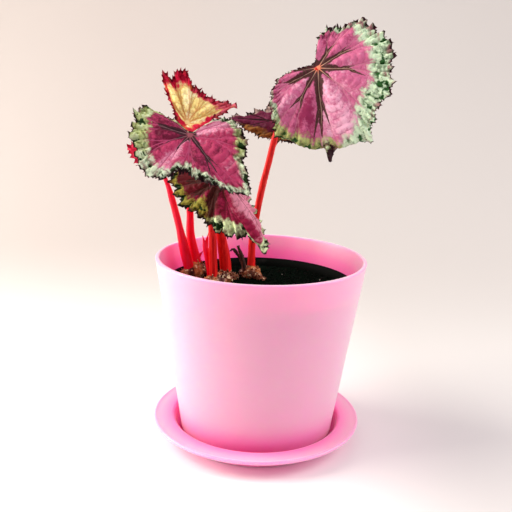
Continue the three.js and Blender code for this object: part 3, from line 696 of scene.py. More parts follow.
def stem_tree():
    """Sweeps a round section of each point's own radius along the lines, roughens it and sets
    small cones on it: rootlets, dry scales or hairs."""
    tree, value, finish_with = new_tree("stem", ["Lump Height", "Lump Scale", "Cone Density", "Cone Width",
                                                 "Cone Length", "Cone Flatness", "Cone Lean"],
                                        ["Sides", "Cone Sides", "Seed"])
    line = node(tree, "GeometryNodeMeshToCurve", {"Mesh": value["Geometry"]})
    ring = node(tree, "GeometryNodeCurvePrimitiveCircle", {"Resolution": value["Sides"], "Radius": 1.0})
    tube = node(tree, "GeometryNodeCurveToMesh", {"Curve": line, "Profile Curve": ring,
                                                  "Scale": stored(tree, "girth"), "Fill Caps": True})
    lump = node(tree, "ShaderNodeTexNoise", {"Scale": value["Lump Scale"], "Detail": 2.0}).outputs["Fac"]
    rise = times(minus(lump, 0.5), value["Lump Height"])
    push = vector("SCALE", node(tree, "GeometryNodeInputNormal").outputs[0], rise)
    body = node(tree, "GeometryNodeSetPosition", {"Geometry": tube, "Offset": push}).outputs[0]
    spread = node(tree, "GeometryNodeDistributePointsOnFaces",
                  {"Mesh": body, "Density": value["Cone Density"], "Seed": value["Seed"]}).outputs
    cone = node(tree, "GeometryNodeMeshCone", {"Vertices": value["Cone Sides"], "Radius Top": 0.0,
                                               "Radius Bottom": value["Cone Width"],
                                               "Depth": value["Cone Length"]})
    lean = vector("ADD", spread["Normal"], combined(tree, Z=value["Cone Lean"]))
    flat = combined(tree, X=1.0, Y=value["Cone Flatness"], Z=1.0)
    size = vector("SCALE", flat, chance(tree, 0.5, 1.2, seed=5))
    cones = planted(tree, spread["Points"], cone, lean, stray=0.4, size=size, seed=value["Seed"])
    return finish_with(joined(tree, cones, body), smooth=True)


def plant_skin():
    """Skin of a stem: streaks that run up it, a mottle and fine freckles."""
    group, value, finish_with = new_skin("plant_skin", ["Colour", "Streak", "Freckle", "Tip"],
                                         ["Fineness", "Freckled", "Gloss", "Relief"])
    place = place_of(group)
    drawn_out = node(group, "ShaderNodeMapping", {"Vector": place, "Scale": (1.0, 1.0, 0.07)}).outputs[0]
    streaks = speckle(drawn_out, value["Fineness"], 3.0)
    spots = speckle(place, times(value["Fineness"], 2.5), 4.0, 0.6)
    tip = times(rises(read(group, "along"), 0.55, 1.0), 0.8)
    freckled = times(rises(spots, 0.56, 0.66), value["Freckled"])
    colour = mix(rises(streaks, 0.35, 0.68), value["Colour"], value["Streak"])
    colour = mix(tip, colour, value["Tip"])
    colour = mix(freckled, colour, value["Freckle"])
    rough = calc("MULTIPLY_ADD", spots, 0.25, value["Gloss"])
    return finish_with(colour, rough, plus(streaks, spots), strength=value["Relief"], depth=0.4 * MM)


stems = stem_tree()
skin = plant_skin()
BARK = dict(sides=48, lump_height=2.4 * MM, lump_scale=260.0, cone_density=170000.0, cone_width=0.9 * MM,
            cone_length=2.0 * MM, cone_flatness=0.3, cone_lean=0.9, cone_sides=5, seed=2)
# the pale freckles and tan streaks are partly the rhizomes' own flecks and partly painted highlights
woody = wear(*new_material("woody_rhizome", Specular_IOR_Level=0.35), skin, Colour="48160e", Streak="c87a48",
             Freckle="f6dcb0", Tip="6a3420", Fineness=170.0, Freckled=1.0, Gloss=0.35, Relief=0.9)
for name, (path, radii) in RHIZOMES.items():
    rhizome = stem_line("rhizome_" + name + "_bark", [(path, radii)], steps=60, domed=True)
    grown(rhizome, stems, material=woody, **BARK)
    settle(rhizome, "rhizome", "rhizome_" + name)


# The stalks: one juicy red stalk to each leaf, rooted in a rhizome and slightly hairy.
# Beside them stand a papery red spike and a young forked shoot.
HAIRS = dict(sides=28, lump_height=0.35 * MM, lump_scale=420.0, cone_density=110000.0,
             cone_width=0.07 * MM, cone_length=0.9 * MM, cone_flatness=1.0, cone_lean=0.2, cone_sides=3,
             seed=4)
STALK_TAPER = (0, 0, 0.5, 0.6, 1, 1.2)  # share of the way from the foot's radius to the top's
juice = dict(Subsurface_Weight=0.15, Subsurface_Scale=0.003, Specular_IOR_Level=0.2)
red = wear(*new_material("red_stalk", **juice), skin, Colour="c8090f", Streak="ea2822", Freckle="ec4a38",
           Tip="c8161e", Fineness=700.0, Freckled=0.25, Gloss=0.3, Relief=0.12)
rose = wear(*new_material("rose_stalk", **juice), skin, Colour="f60020", Streak="fc1840", Freckle="f04060",
            Tip="dc1048", Fineness=700.0, Freckled=0.25, Gloss=0.3, Relief=0.25)
# leaf: path from the foot to just under the blade, radius at the foot and top, material
STALKS = {
    "tall": ([(-6.4, 26, 95.5), (-6.3, 26, 101.2), (-6.2, 26, 110.1), (-5.9, 26, 121.5), (-3.5, 25, 139),
              (-0.8, 23, 155.6), (2.5, 20, 170.1), (7.2, 17, 190.9), (15, 14, 207.5), (23.3, 10.5, 220.8)],
             2.4, 1.7, red),
    "front": ([(-29.6, 8, 94), (-29.7, 8, 97.5), (-30.3, 8, 111.8), (-30.8, 7, 126.2), (-33.1, 4, 146.3),
               (-37, -4, 168.7), (-41, -14.5, 183.2)], 2.6, 1.8, red),
    "low": ([(-21.6, 18.6, 94), (-22.3, 18.4, 100), (-23.6, 17.6, 110.9), (-25.8, 14, 124.9),
             (-27, 7, 140.3), (-27.4, -3, 153.5)], 3.7, 2.4, red),
    "young": ([(-39.2, 22, 97.5), (-40.6, 22, 102.5), (-43.4, 22, 111.9), (-45.8, 21, 123.3),
               (-46, 18, 138.9), (-46.6, 9, 160.6), (-46.7, 0, 179.8)], 2.9, 1.6, rose),
    "bud": ([(-45.6, 15.6, 99), (-46.4, 15.5, 104.1), (-49, 15.5, 114.6), (-53.3, 13, 134.5),
             (-56.6, 10.5, 148.2), (-60, 7, 160.5)], 3.3, 1.3, rose),
    "rear": ([(-5.7, 38.5, 89), (-5.8, 38.5, 99.5), (-5.9, 38.5, 117.4), (-3.2, 38, 136.6), (3, 37, 168),
              (6.6, 34.5, 182.5)], 2.2, 1.5, red),
}
# the papery spike at the young leaf's foot, and the shoot with its side fork: path, radii
STIPULE = ([(-41.6, 22, 105), (-39.7, 22, 110), (-37.4, 22, 112.9)], (1.6, 1.1, 0.2))
SHOOT = [([(-32.6, 11.6, 97.5), (-33.4, 12, 104.1), (-35.1, 12, 115.9), (-37.4, 12, 125.2)],
          (1.2, 1.6, 1.9, 0.25)),
         ([(-34.6, 12, 113), (-34.8, 13, 121), (-33.7, 13.4, 127)], (1.2, 1.1, 0.2))]
# where each blade joins its stalk: place, direction of the midrib, direction the blade faces
JOINTS = {
    "tall": ((29.4, 4, 229.6), (0.04, -0.37, -0.93), (-0.15, -0.92, 0.36)),
    "front": ((-42.1, -25, 190.8), (0.66, -0.42, -0.62), (-0.06, -0.84, 0.54)),
    "low": ((-25.3, -15, 165.8), (0.472, -0.3, -0.8), (-0.42, -0.9, 0.06)),
    "young": ((-45.7, -8, 196.2), (0.93, -0.02, 0.36), (0.02, -0.94, 0.33)),
    "rear": ((19.2, 27, 195.4), (-0.96, 0.17, 0.09), (-0.02, -0.5, 0.86)),
    "bud": ((-65.6, -4, 171.9), (-0.86, 0.05, 0.5), (-0.1, -0.8, 0.6)),
}
for name, (path, foot, top, material) in STALKS.items():
    place, _, face = JOINTS[name]
    end = np.array(place) - 0.4 * unit(face)  # just behind the blade's face
    strands = [([*path, end.tolist()], [foot + (top - foot) * share for share in STALK_TAPER])]
    if name == "young":
        strands.append(STIPULE)
    stalk = grown(stem_line("red_stalk_" + name, strands, steps=90), stems, material=material, **HAIRS)
    settle(stalk, "stalk", "stalk_" + name)
shoot = grown(stem_line("young_shoot", SHOOT, steps=40), stems, material=rose, **HAIRS)
settle(shoot, "stalk", "shoot")


# The dry stalks: two withered brown stubs of old leaves, shrunken and brittle, still on the
# right-hand rhizome. One hooks over.
DRY_STALKS = [([(-10.2, 23.6, 97.4), (-10.8, 22.9, 103), (-13, 22, 111.4), (-15.4, 21.4, 117)],
               (1.3, 1.4, 1.3, 0.7)),
              ([(-10.5, 23.3, 99.6), (-12.9, 23.8, 106), (-15.9, 24.2, 111.4), (-18.2, 24.2, 114),
                (-20.6, 24.2, 112.6)], (0.9, 0.8, 0.7, 1.1, 0.4))]
brittle = wear(*new_material("dry_stalk", Specular_IOR_Level=0.3), skin, Colour="2a1512", Streak="5a2f20",
               Freckle="8a5a3c", Tip="20100e", Fineness=900.0, Freckled=0.3, Gloss=0.6, Relief=0.9)
WITHERED = dict(sides=20, lump_height=0.9 * MM, lump_scale=900.0, cone_density=160000.0,
                cone_width=0.3 * MM, cone_length=0.9 * MM, cone_flatness=0.3, cone_lean=0.4, cone_sides=4,
                seed=9)
dry = grown(stem_line("withered_stalks", DRY_STALKS, steps=40), stems, material=brittle, **WITHERED)
settle(dry, "dry_stalk", "dry_stalks")


# The leaf blades: thin, quilted and slightly hairy, with a silver-green margin round a purple
# field, dark bands along the main veins and a ruffled edge of small teeth.

# half, half_rim: half the thickness inside and at the rim; rings crowd towards the rim.
# ..._from: share of the way out where thinning, waves, frill and teeth begin.
# full_reach, full_teeth: lobes shorter than this have lower waves, or lower teeth; toothing: how
# far waves push the outline out. tooth_stray: how unevenly teeth are spaced; tooth_sizes: least
# and greatest height for the leaf's own; spine_on: a higher tooth carries a spine.
# ..._ridge, groove: height of veins on the underside, depth of their grooves on top.
BLADE = {"half": 0.3, "half_rim": 0.13, "thin_from": 0.8, "rings": 60, "crowding": 1.25, "wave_from": 0.55,
         "frill_from": 0.7, "teeth_from": 0.9, "tooth_pitch": 2.1, "tooth_stray": 0.25,
         "tooth_sizes": (0.5, 1.9), "spine_on": 0.35, "full_reach": 25, "full_teeth": 14,
         "toothing": 0.022, "roll_share": 0.45, "vein_ridge": 0.5, "net_ridge": 0.22, "groove": 0.3,
         "net_width": 0.45, "blister": 1.7}
# Veins: ..._to, how far out they run, and ..._from, where a fork or twig begins, as shares of the
# way; fork_swing, how far a fork swings into the gap to the next vein; twig_off, how far a twig
# stands off it. Cross veins: first and apart, their distance from the stalk and from each other
# in mm; bow and slant, their curve and tilt in mm.
VEINS = {"main_to": 0.97, "fork_from": (0.34, 0.42), "fork_to": 0.96, "fork_swing": (0.24, 0.32),
         "twig_from": (0.4, 0.55), "twig_off": 0.09, "cross_to": 0.9, "first": (3.5, 6),
         "apart": (3.2, 5.6), "bow": (0.5, 2.0), "slant": (-1.6, 1.6)}
# In each leaf: arch, bend along the midrib per mm; fold, degrees each half lifts off the midrib;
# curl, further bend of each half per mm; crease, width of the fold.
# lobes: outline as degrees from the midrib and reach in mm; rolled: degrees the margin rolls back
# at some of these lobes, else 0.
# veins: main veins in degrees, with the length and half width of the dark band along each.
# heart: radius of the dark patch round the stalk.
# marks: degrees, width of the pale margin, how warm it is, how pale or, below 0, how deep the
# field inside it is, width of the dark rim.
# ripples: waves round the margin; ripple, frill, puff, quilt: heights of the waves, of the frill
# at the edge, of the swelling between main veins and of the blisters between small ones.
LEAVES = {
    "tall": dict(
        arch=0.01, fold=(6, 6), curl=(-0.004, -0.004), crease=3,
        lobes=[(-22, 51), (-12, 53), (-4, 54), (2, 53.5), (5, 56), (8.5, 54), (15, 55), (25, 55.5),
               (33, 54.5), (38, 48.5), (56, 42.5), (68, 45.5), (84, 42.5), (100, 44.5), (126, 40),
               (138, 39.5), (147, 30), (170, 24), (178, 17), (186, 8), (200, 4), (240, 4), (262, 7),
               (272, 12), (282, 22), (300, 32.6), (315, 39), (328, 48)],
        rolled={-22: 135, -12: 135, -4: 135, 2: 135, 5: 25, 8.5: 80, 15: 135, 25: 135, 33: 40, 328: 40},
        veins=[(-85, 15, 3.0), (-62, 20, 4.0), (-30, 23, 2.8), (2, 41, 3.6), (47, 12, 2.0), (82, 21, 3.0),
               (118, 22, 2.6), (146, 16, 2.8)],
        marks=[(-105, 0.8, 0.3, 0, 0.9), (-90, 0.8, 0.3, -0.2, 1), (-76, 1.2, 0.1, 0.1, 1.2),
               (-60, 1.8, 0.2, -0.2, 0.6), (-48, 5, 0.3, 0.2, 0.7), (-30, 9, 0.9, 0, 1),
               (-18, 13, 1, -0.9, 1.2), (-4, 13, 0.9, -0.5, 1.4), (1, 12, 0.7, 0.4, 3),
               (5, 15, 0.6, 0.4, 15), (8.5, 12, 0.9, 0.6, 8), (12, 10, 1, 0.6, 2.4),
               (18, 11, 0.3, 0.8, 1.6), (26, 14, 0, 0.7, 1.4), (35, 16.5, 0, 0.6, 1), (49, 12.2, 0, 0.4, 1),
               (61, 14.8, 0, 0.4, 1), (80, 13.7, 0, 0.2, 1.2), (104, 14, 0, 0, 1.2),
               (128, 11, 0.1, -0.4, 1.6), (143, 6, 0.3, -0.3, 2), (160, 3, 0.2, -0.2, 1.6),
               (185, 0.8, 0.2, 0, 1)],
        ripples=36, ripple=1.0, frill=1.05, puff=1.9, quilt=0.8, roll_band=10, tooth=0.85, heart=5.6,
        seed=3),
    "front": dict(
        arch=0.005, fold=(12, 12), curl=(-0.006, -0.006), crease=3,
        lobes=[(4, 47.5), (14, 40), (21, 34.5), (36, 33), (59, 27), (72, 22), (79, 13), (86, 5), (95, 2.4),
               (140, 2.2), (168, 2.4), (181, 6), (187, 16), (195, 31), (204, 36), (214, 33), (234, 33.5),
               (246, 31.5), (262, 33.5), (279, 35), (293, 31.5), (303, 25), (317, 24), (331, 28.5),
               (346, 35)],
        rolled={293: 15, 303: 70, 317: 70, 331: 10},
        veins=[(-170, 6, 1.5), (-146, 20, 3.0), (-108, 12, 1.6), (-78, 12, 1.6), (-42, 5, 1.5),
               (-6, 28, 2.0), (34, 5, 1.4), (68, 4, 1.2)],
        # painted highlight: the pale field round -74 degrees is the light on the ridge that bulges there
        marks=[(-175, 2.5, 0.6, -0.8, 0.8), (-162, 9, 0.6, -0.8, 0.9), (-136, 11, 0.65, -1, 0.9),
               (-111, 8.4, 0.6, -0.9, 1), (-92, 8.5, 0.3, -0.3, 1), (-74, 8, 0.1, 1.0, 1.6),
               (-56, 6, 0, 0.3, 4), (-31, 7.2, 0, -0.5, 4.5), (-11, 7, 0, -0.3, 2.6),
               (0, 5.6, 0, -0.2, 1.6), (15, 6.4, 0.4, 0, 2.2), (38, 6.8, 0.7, 0, 2),
               (54, 4.5, 0.5, 0.8, 0.9), (68, 4, 0.3, 1.2, 0.7), (79, 3, 0.2, 0.6, 0.6),
               (96, 1, 0.3, 0, 0.6), (160, 0.6, 0.5, 0, 0.8)],
        ripples=30, ripple=1.4, frill=0.9, puff=1.0, quilt=0.9, roll_band=9, tooth=0.8, heart=3.5, seed=5),
    "low": dict(
        arch=0.006, fold=(-97, 0), curl=(-0.01, -0.006), crease=6,
        lobes=[(0, 50), (15, 35), (45, 22), (90, 14), (130, 9), (165, 5), (205, 5), (222, 9), (231, 29),
               (241, 36), (251, 34), (273, 32), (285, 28), (299, 28), (327, 33), (345, 36), (354, 38)],
        veins=[(-115, 24, 4.5), (-90, 22, 4.0), (-54, 36, 4.8), (-18, 12, 1.6), (18, 8, 1.2), (60, 6, 1.2),
               (110, 4, 1.0)],
        # painted shade and light: the deep field on the left, down to -1.4, stands for the shade that the
        # front leaf casts there; the pale field from 9 degrees round to 90, at 2.2, is painted light on the
        # strip that faces away from the lamps
        marks=[(-135, 2, 0.9, -1.4, 1), (-117, 5.8, 0.9, -1.4, 1.6), (-104, 7.5, 1, -1.2, 1.4),
               (-87, 9, 1, -1, 1.4), (-74, 13, 1.4, -0.8, 1.6), (-64, 11, 1.3, -1, 2),
               (-50, 5, 0.6, -1, 2.4), (-40, 9, 0.2, -0.5, 1.4), (-23, 11, 0.1, -0.3, 1.2),
               (-8, 9, 0.2, -0.3, 1.2), (2, 5, 0.2, 0.4, 0.9), (9, 2, 0.1, 2.2, 0.4),
               (90, 1, 0.1, 2.2, 0.3)],
        ripples=28, ripple=1.4, frill=0.9, puff=0.9, quilt=0.9, roll_band=8, tooth=0.9, heart=7, seed=8),
    "young": dict(
        arch=0.004, fold=(6, 50), curl=(0.004, -0.06), crease=3,
        lobes=[(4, 31), (15, 23), (37, 19.5), (63, 21.6), (69, 24.5), (76, 31), (84, 29.5), (92, 27),
               (98, 31.5), (102, 27), (114, 12.5), (128, 8.5), (150, 7), (190, 6.5), (235, 9.5),
               (275, 13.5), (310, 14), (343, 15.5), (356, 20)],
        veins=[(-75, 1, 0.6), (-30, 1, 0.6), (5, 1, 0.6), (35, 1, 0.6), (62, 1, 0.6), (88, 1, 0.6),
               (108, 1, 0.6)],
        marks=[(-120, 8, 0, 0, 2), (-90, 10, 0.3, 0.9, 1.6), (-60, 10, 0.2, 0.9, 1.6),
               (-30, 9, 0, 0.9, 1.8), (-12, 6, 0, 0.9, 1.6), (0, 9, 1.1, 0.6, 1.0), (5, 11, 1.1, 0.2, 1.0),
               (15, 5, 0.6, 0.2, 1), (37, 3.5, 0.5, 0.5, 1.2), (63, 4, 0.4, 0.9, 1.2), (80, 9, 0, 0.6, 1.2),
               (97, 8.5, 0, 0.2, 1.2), (114, 3, 0.2, 0, 1.2), (140, 7, 0, 0, 1.4), (190, 7, 0, 0, 1.6)],
        ripples=26, ripple=0.9, frill=1.0, puff=1.6, quilt=2.0, roll_band=6, tooth=1.4, heart=0.1, seed=13),
    "rear": dict(
        arch=0.004, fold=(-45, 16), curl=(0, 0), crease=3,
        lobes=[(-2, 43), (6, 36), (16, 29), (26, 24), (40, 17.5), (70, 13), (110, 12), (150, 9), (178, 5),
               (205, 9), (228, 18), (252, 23), (290, 25), (325, 24), (336, 23.5), (348, 31)],
        veins=[(-120, 8, 1.6), (-75, 8, 1.6), (-35, 8, 1.6), (-2, 38, 1.6), (32, 8, 1.4), (75, 6, 1.4),
               (120, 5, 1.2)],
        # painted shade: the warm tan margin on the drooping near half, from 8 to 40 degrees, stands for the
        # green margin in shade
        marks=[(-120, 5, 0.4, 0.2, 1), (-60, 5, 0.2, 0.3, 1.2), (-20, 4, 0.2, 0.3, 1), (0, 1.5, 0.2, 0, 1),
               (8, 7, 1, -0.6, 1), (20, 9, 1, -0.6, 1), (40, 7, 1, -0.4, 1), (90, 5, 0.8, 0, 1),
               (150, 4, 0.6, 0, 1)],
        ripples=26, ripple=1.0, frill=0.7, puff=1.2, quilt=0.6, roll_band=8, tooth=1.1, heart=6, seed=17),
    "bud": dict(
        arch=0.002, fold=(20, 20), curl=(0, 0), crease=2,
        lobes=[(-8, 20), (6, 15), (25, 10.5), (60, 7.5), (95, 6), (135, 5), (180, 3), (225, 7), (270, 11),
               (310, 13.5), (335, 16.5)],
        veins=[(-90, 1, 0.6), (-45, 1, 0.6), (-8, 1, 0.6), (30, 1, 0.6), (80, 1, 0.6)],
        marks=[(0, 4, 0, 0, 0.7), (90, 3, 0, 0, 0.7), (180, 2, 0, 0, 0.7), (270, 3, 0, 0, 0.7)],
        ripples=16, ripple=1.2, frill=0.8, puff=0.9, quilt=0.5, roll_band=5, tooth=1.3, heart=0.1, seed=21),
}


def round_curve(pairs, degrees):
    """Smooth curve through (degrees, value) pairs round a full turn, with no overshoot."""
    pairs = sorted((a % 360, v) for a, v in pairs)
    a, v = np.array(pairs, float).T
    gap = (np.roll(a, -1) - a) % 360
    rise = (np.roll(v, -1) - v) / gap
    last = np.roll(rise, 1)
    same = rise * last > 0
    slope = np.where(same, 2 * rise * last / np.where(same, rise + last, 1), 0)
    x = np.mod(degrees, 360)
    i = (np.searchsorted(a, x, side="right") - 1) % len(a)
    j = (i + 1) % len(a)
    t = ((x - a[i]) % 360) / gap[i]
    ease = t * t * (3 - 2 * t)
    return (v[i] * (1 - ease) + v[j] * ease + t * (1 - t) ** 2 * gap[i] * slope[i]
            - t * t * (1 - t) * gap[i] * slope[j])


def step_up(x, low, high):
    """0 below low, 1 above high, eased between them, for plain numbers."""
    t = np.clip((x - low) / (high - low), 0, 1)
    return t * t * (3 - 2 * t)


def bent(leaf, joint, s, t, d):
    """Takes flat spots (s along the midrib, t across it, lifted by d) to their place in space."""
    place, midrib, face = joint
    face = unit(face)
    midrib = unit(np.array(midrib) - np.dot(midrib, face) * face)
    side = np.cross(face, midrib)
    arch = leaf["arch"]
    dive = arch * s
    along = np.sin(dive) / arch
    drop = (1 - np.cos(dive)) / arch
    up = np.sin(dive)[..., None] * midrib + np.cos(dive)[..., None] * face
    first = t >= 0
    way = np.where(first, 1.0, -1.0)
    fold = np.where(first, *(math.radians(f) or 1e-6 for f in leaf["fold"]))
    curl = np.where(first, *(c or 1e-9 for c in leaf["curl"]))
    crease = leaf["crease"]
    on_crease = fold * np.minimum(np.abs(t), crease) / crease
    lean = on_crease + curl * np.maximum(0, np.abs(t) - crease)
    tight = fold / crease
    across = np.sin(on_crease) / tight + (np.sin(lean) - np.sin(on_crease)) / curl
    lift = (1 - np.cos(on_crease)) / tight + (np.cos(on_crease) - np.cos(lean)) / curl
    return (np.array(place, float) + along[..., None] * midrib - drop[..., None] * face
            + (way * across - way * d * np.sin(lean))[..., None] * side
            + (lift + d * np.cos(lean))[..., None] * up)


def polar(degrees, radii):
    """Flat spots from their angle and radius."""
    a = np.radians(degrees)
    return np.stack([radii * np.cos(a), radii * np.sin(a)], -1)


def vein_lines(leaf, reach_at):
    """The vein network on the flat blade: points and thickness of the main veins and their forks,
    points of the small cross veins, and the forks' points with the half width of their dark bands."""
    rng = np.random.default_rng(leaf["seed"])
    angles = [v[0] for v in leaf["veins"]]
    main, thick, net, ribs, forks, dark = [], [], [], [], [], []

    def lay(degrees, radii, width):
        main.append(polar(degrees, radii))
        thick.append(width + 0 * radii)

    for k, angle in enumerate(angles):
        reach = float(reach_at(angle))
        before = (angle - angles[k - 1]) % 360
        after = (angles[(k + 1) % len(angles)] - angle) % 360
        r = np.arange(0, reach * VEINS["main_to"], 0.5)
        wander = 1.2 * np.sin(r / 5 + k) * np.minimum(1, r / 10)
        lay(angle + wander, r, 0.9 - 0.55 * r / max(reach, 1))
        ribs.append(angle)
        # a fork on each side that begins part of the way out, with two twigs of its own
        for way, gap, begin in zip((1, -1), (after, before), VEINS["fork_from"]):
            gap = min(gap, 60)
            spread = gap * rng.uniform(*VEINS["fork_swing"])
            begin = begin + rng.uniform(-0.05, 0.05)
            end_angle = angle + way * spread
            end_reach = float(reach_at(end_angle)) * VEINS["fork_to"]
            start = reach * begin
            if end_reach < start + 4:
                continue
            u = np.linspace(0, 1, max(4, int((end_reach - start) * 2)))
            lay(angle + way * spread * np.sqrt(u) * (1.1 - 0.1 * u), start + (end_reach - start) * u,
                0.55 - 0.3 * u)
            forks.append(main[-1])
            length, broad = leaf["veins"][k][1:]
            fading = np.clip(1 - 2 * u * (end_reach - start) / length, 0, 1)
            dark.append(0.45 * broad * (start < length) * fading)
            ribs.append(end_angle)
            for side in (1, -1):
                v = np.linspace(0, 1, max(4, int((end_reach - start) * 1.1)))
                first = start + (end_reach - start) * rng.uniform(*VEINS["twig_from"])
                off = side * gap * VEINS["twig_off"] * np.sqrt(v)
                lay(angle + way * spread * (0.85 + 0.2 * v) + off,
                    first + (end_reach - first) * v, 0.35 - 0.15 * v)
    # small veins that cross from one main vein or fork to the next
    ribs.sort(key=lambda rib: rib % 360)
    for k, left in enumerate(ribs):
        gap = (ribs[(k + 1) % len(ribs)] - left) % 360
        if gap > 75 or gap < 2:
            continue
        reach = float(reach_at(left + gap / 2))
        r = rng.uniform(*VEINS["first"])
        while r < reach * VEINS["cross_to"]:
            u = np.linspace(0, 1, max(4, int(math.radians(gap) * r * 2)))
            bow = rng.uniform(*VEINS["bow"]) * np.sin(np.pi * u) + rng.uniform(*VEINS["slant"]) * u
            radii = r + bow + 0.35 * np.sin(u * rng.uniform(9, 15))
            net.append(polar(left + gap * u, radii))
            r += rng.uniform(*VEINS["apart"])
    return (np.concatenate(a) for a in (main, thick, net, forks, dark))


def nearest(points, places):
    """Distance from each place to the nearest point, and that point's index."""
    tree = kdtree.KDTree(len(points))
    for i, p in enumerate(points):
        tree.insert((p[0], p[1], 0), i)
    tree.balance()
    found = [tree.find((x, y, 0))[1:] for x, y in places]
    index, away = np.array(found).T
    return away, index.astype(int)


def tooth_spokes(leaf, reach_at):
    """Degrees of the spokes, four to a tooth of the margin, and the height of each."""
    rng = np.random.default_rng(leaf["seed"] + 100)
    fine = np.arange(0, 360.1, 0.2)
    r = reach_at(fine)
    run = np.r_[0, np.cumsum(np.linalg.norm(np.diff(polar(fine, r), axis=0), axis=1))]
    count = int(run[-1] / BLADE["tooth_pitch"])
    stray = BLADE["tooth_stray"]
    tips = (np.arange(count) + rng.uniform(-stray, stray, count)) % count
    step = (np.roll(tips, -1) - tips) % count
    spots = np.stack([tips, tips + 0.25 * step, tips + 0.5 * step, tips + 0.78 * step], 1).ravel() % count
    shrunk = np.minimum(1, np.interp(tips, run / run[-1] * count, r) / BLADE["full_teeth"])
    high = leaf["tooth"] * rng.uniform(*BLADE["tooth_sizes"], count) * shrunk
    after = np.roll(high, -1)
    height = np.stack([high, 0.3 * high, 0 * high, 0.4 * after], 1).ravel()
    order = np.argsort(spots)
    return np.interp(spots[order] / count * run[-1], run, fine), height[order]


def face_normals(points, faces):
    """Normals of a sheet's points from its four-sided faces."""
    a, b, c, d = (points[faces[:, i]] for i in range(4))
    turn = np.cross(c - a, d - b)
    normals = np.zeros_like(points)
    for i in range(4):
        np.add.at(normals, faces[:, i], turn)
    return normals / np.maximum(np.linalg.norm(normals, axis=1, keepdims=True), 1e-12)


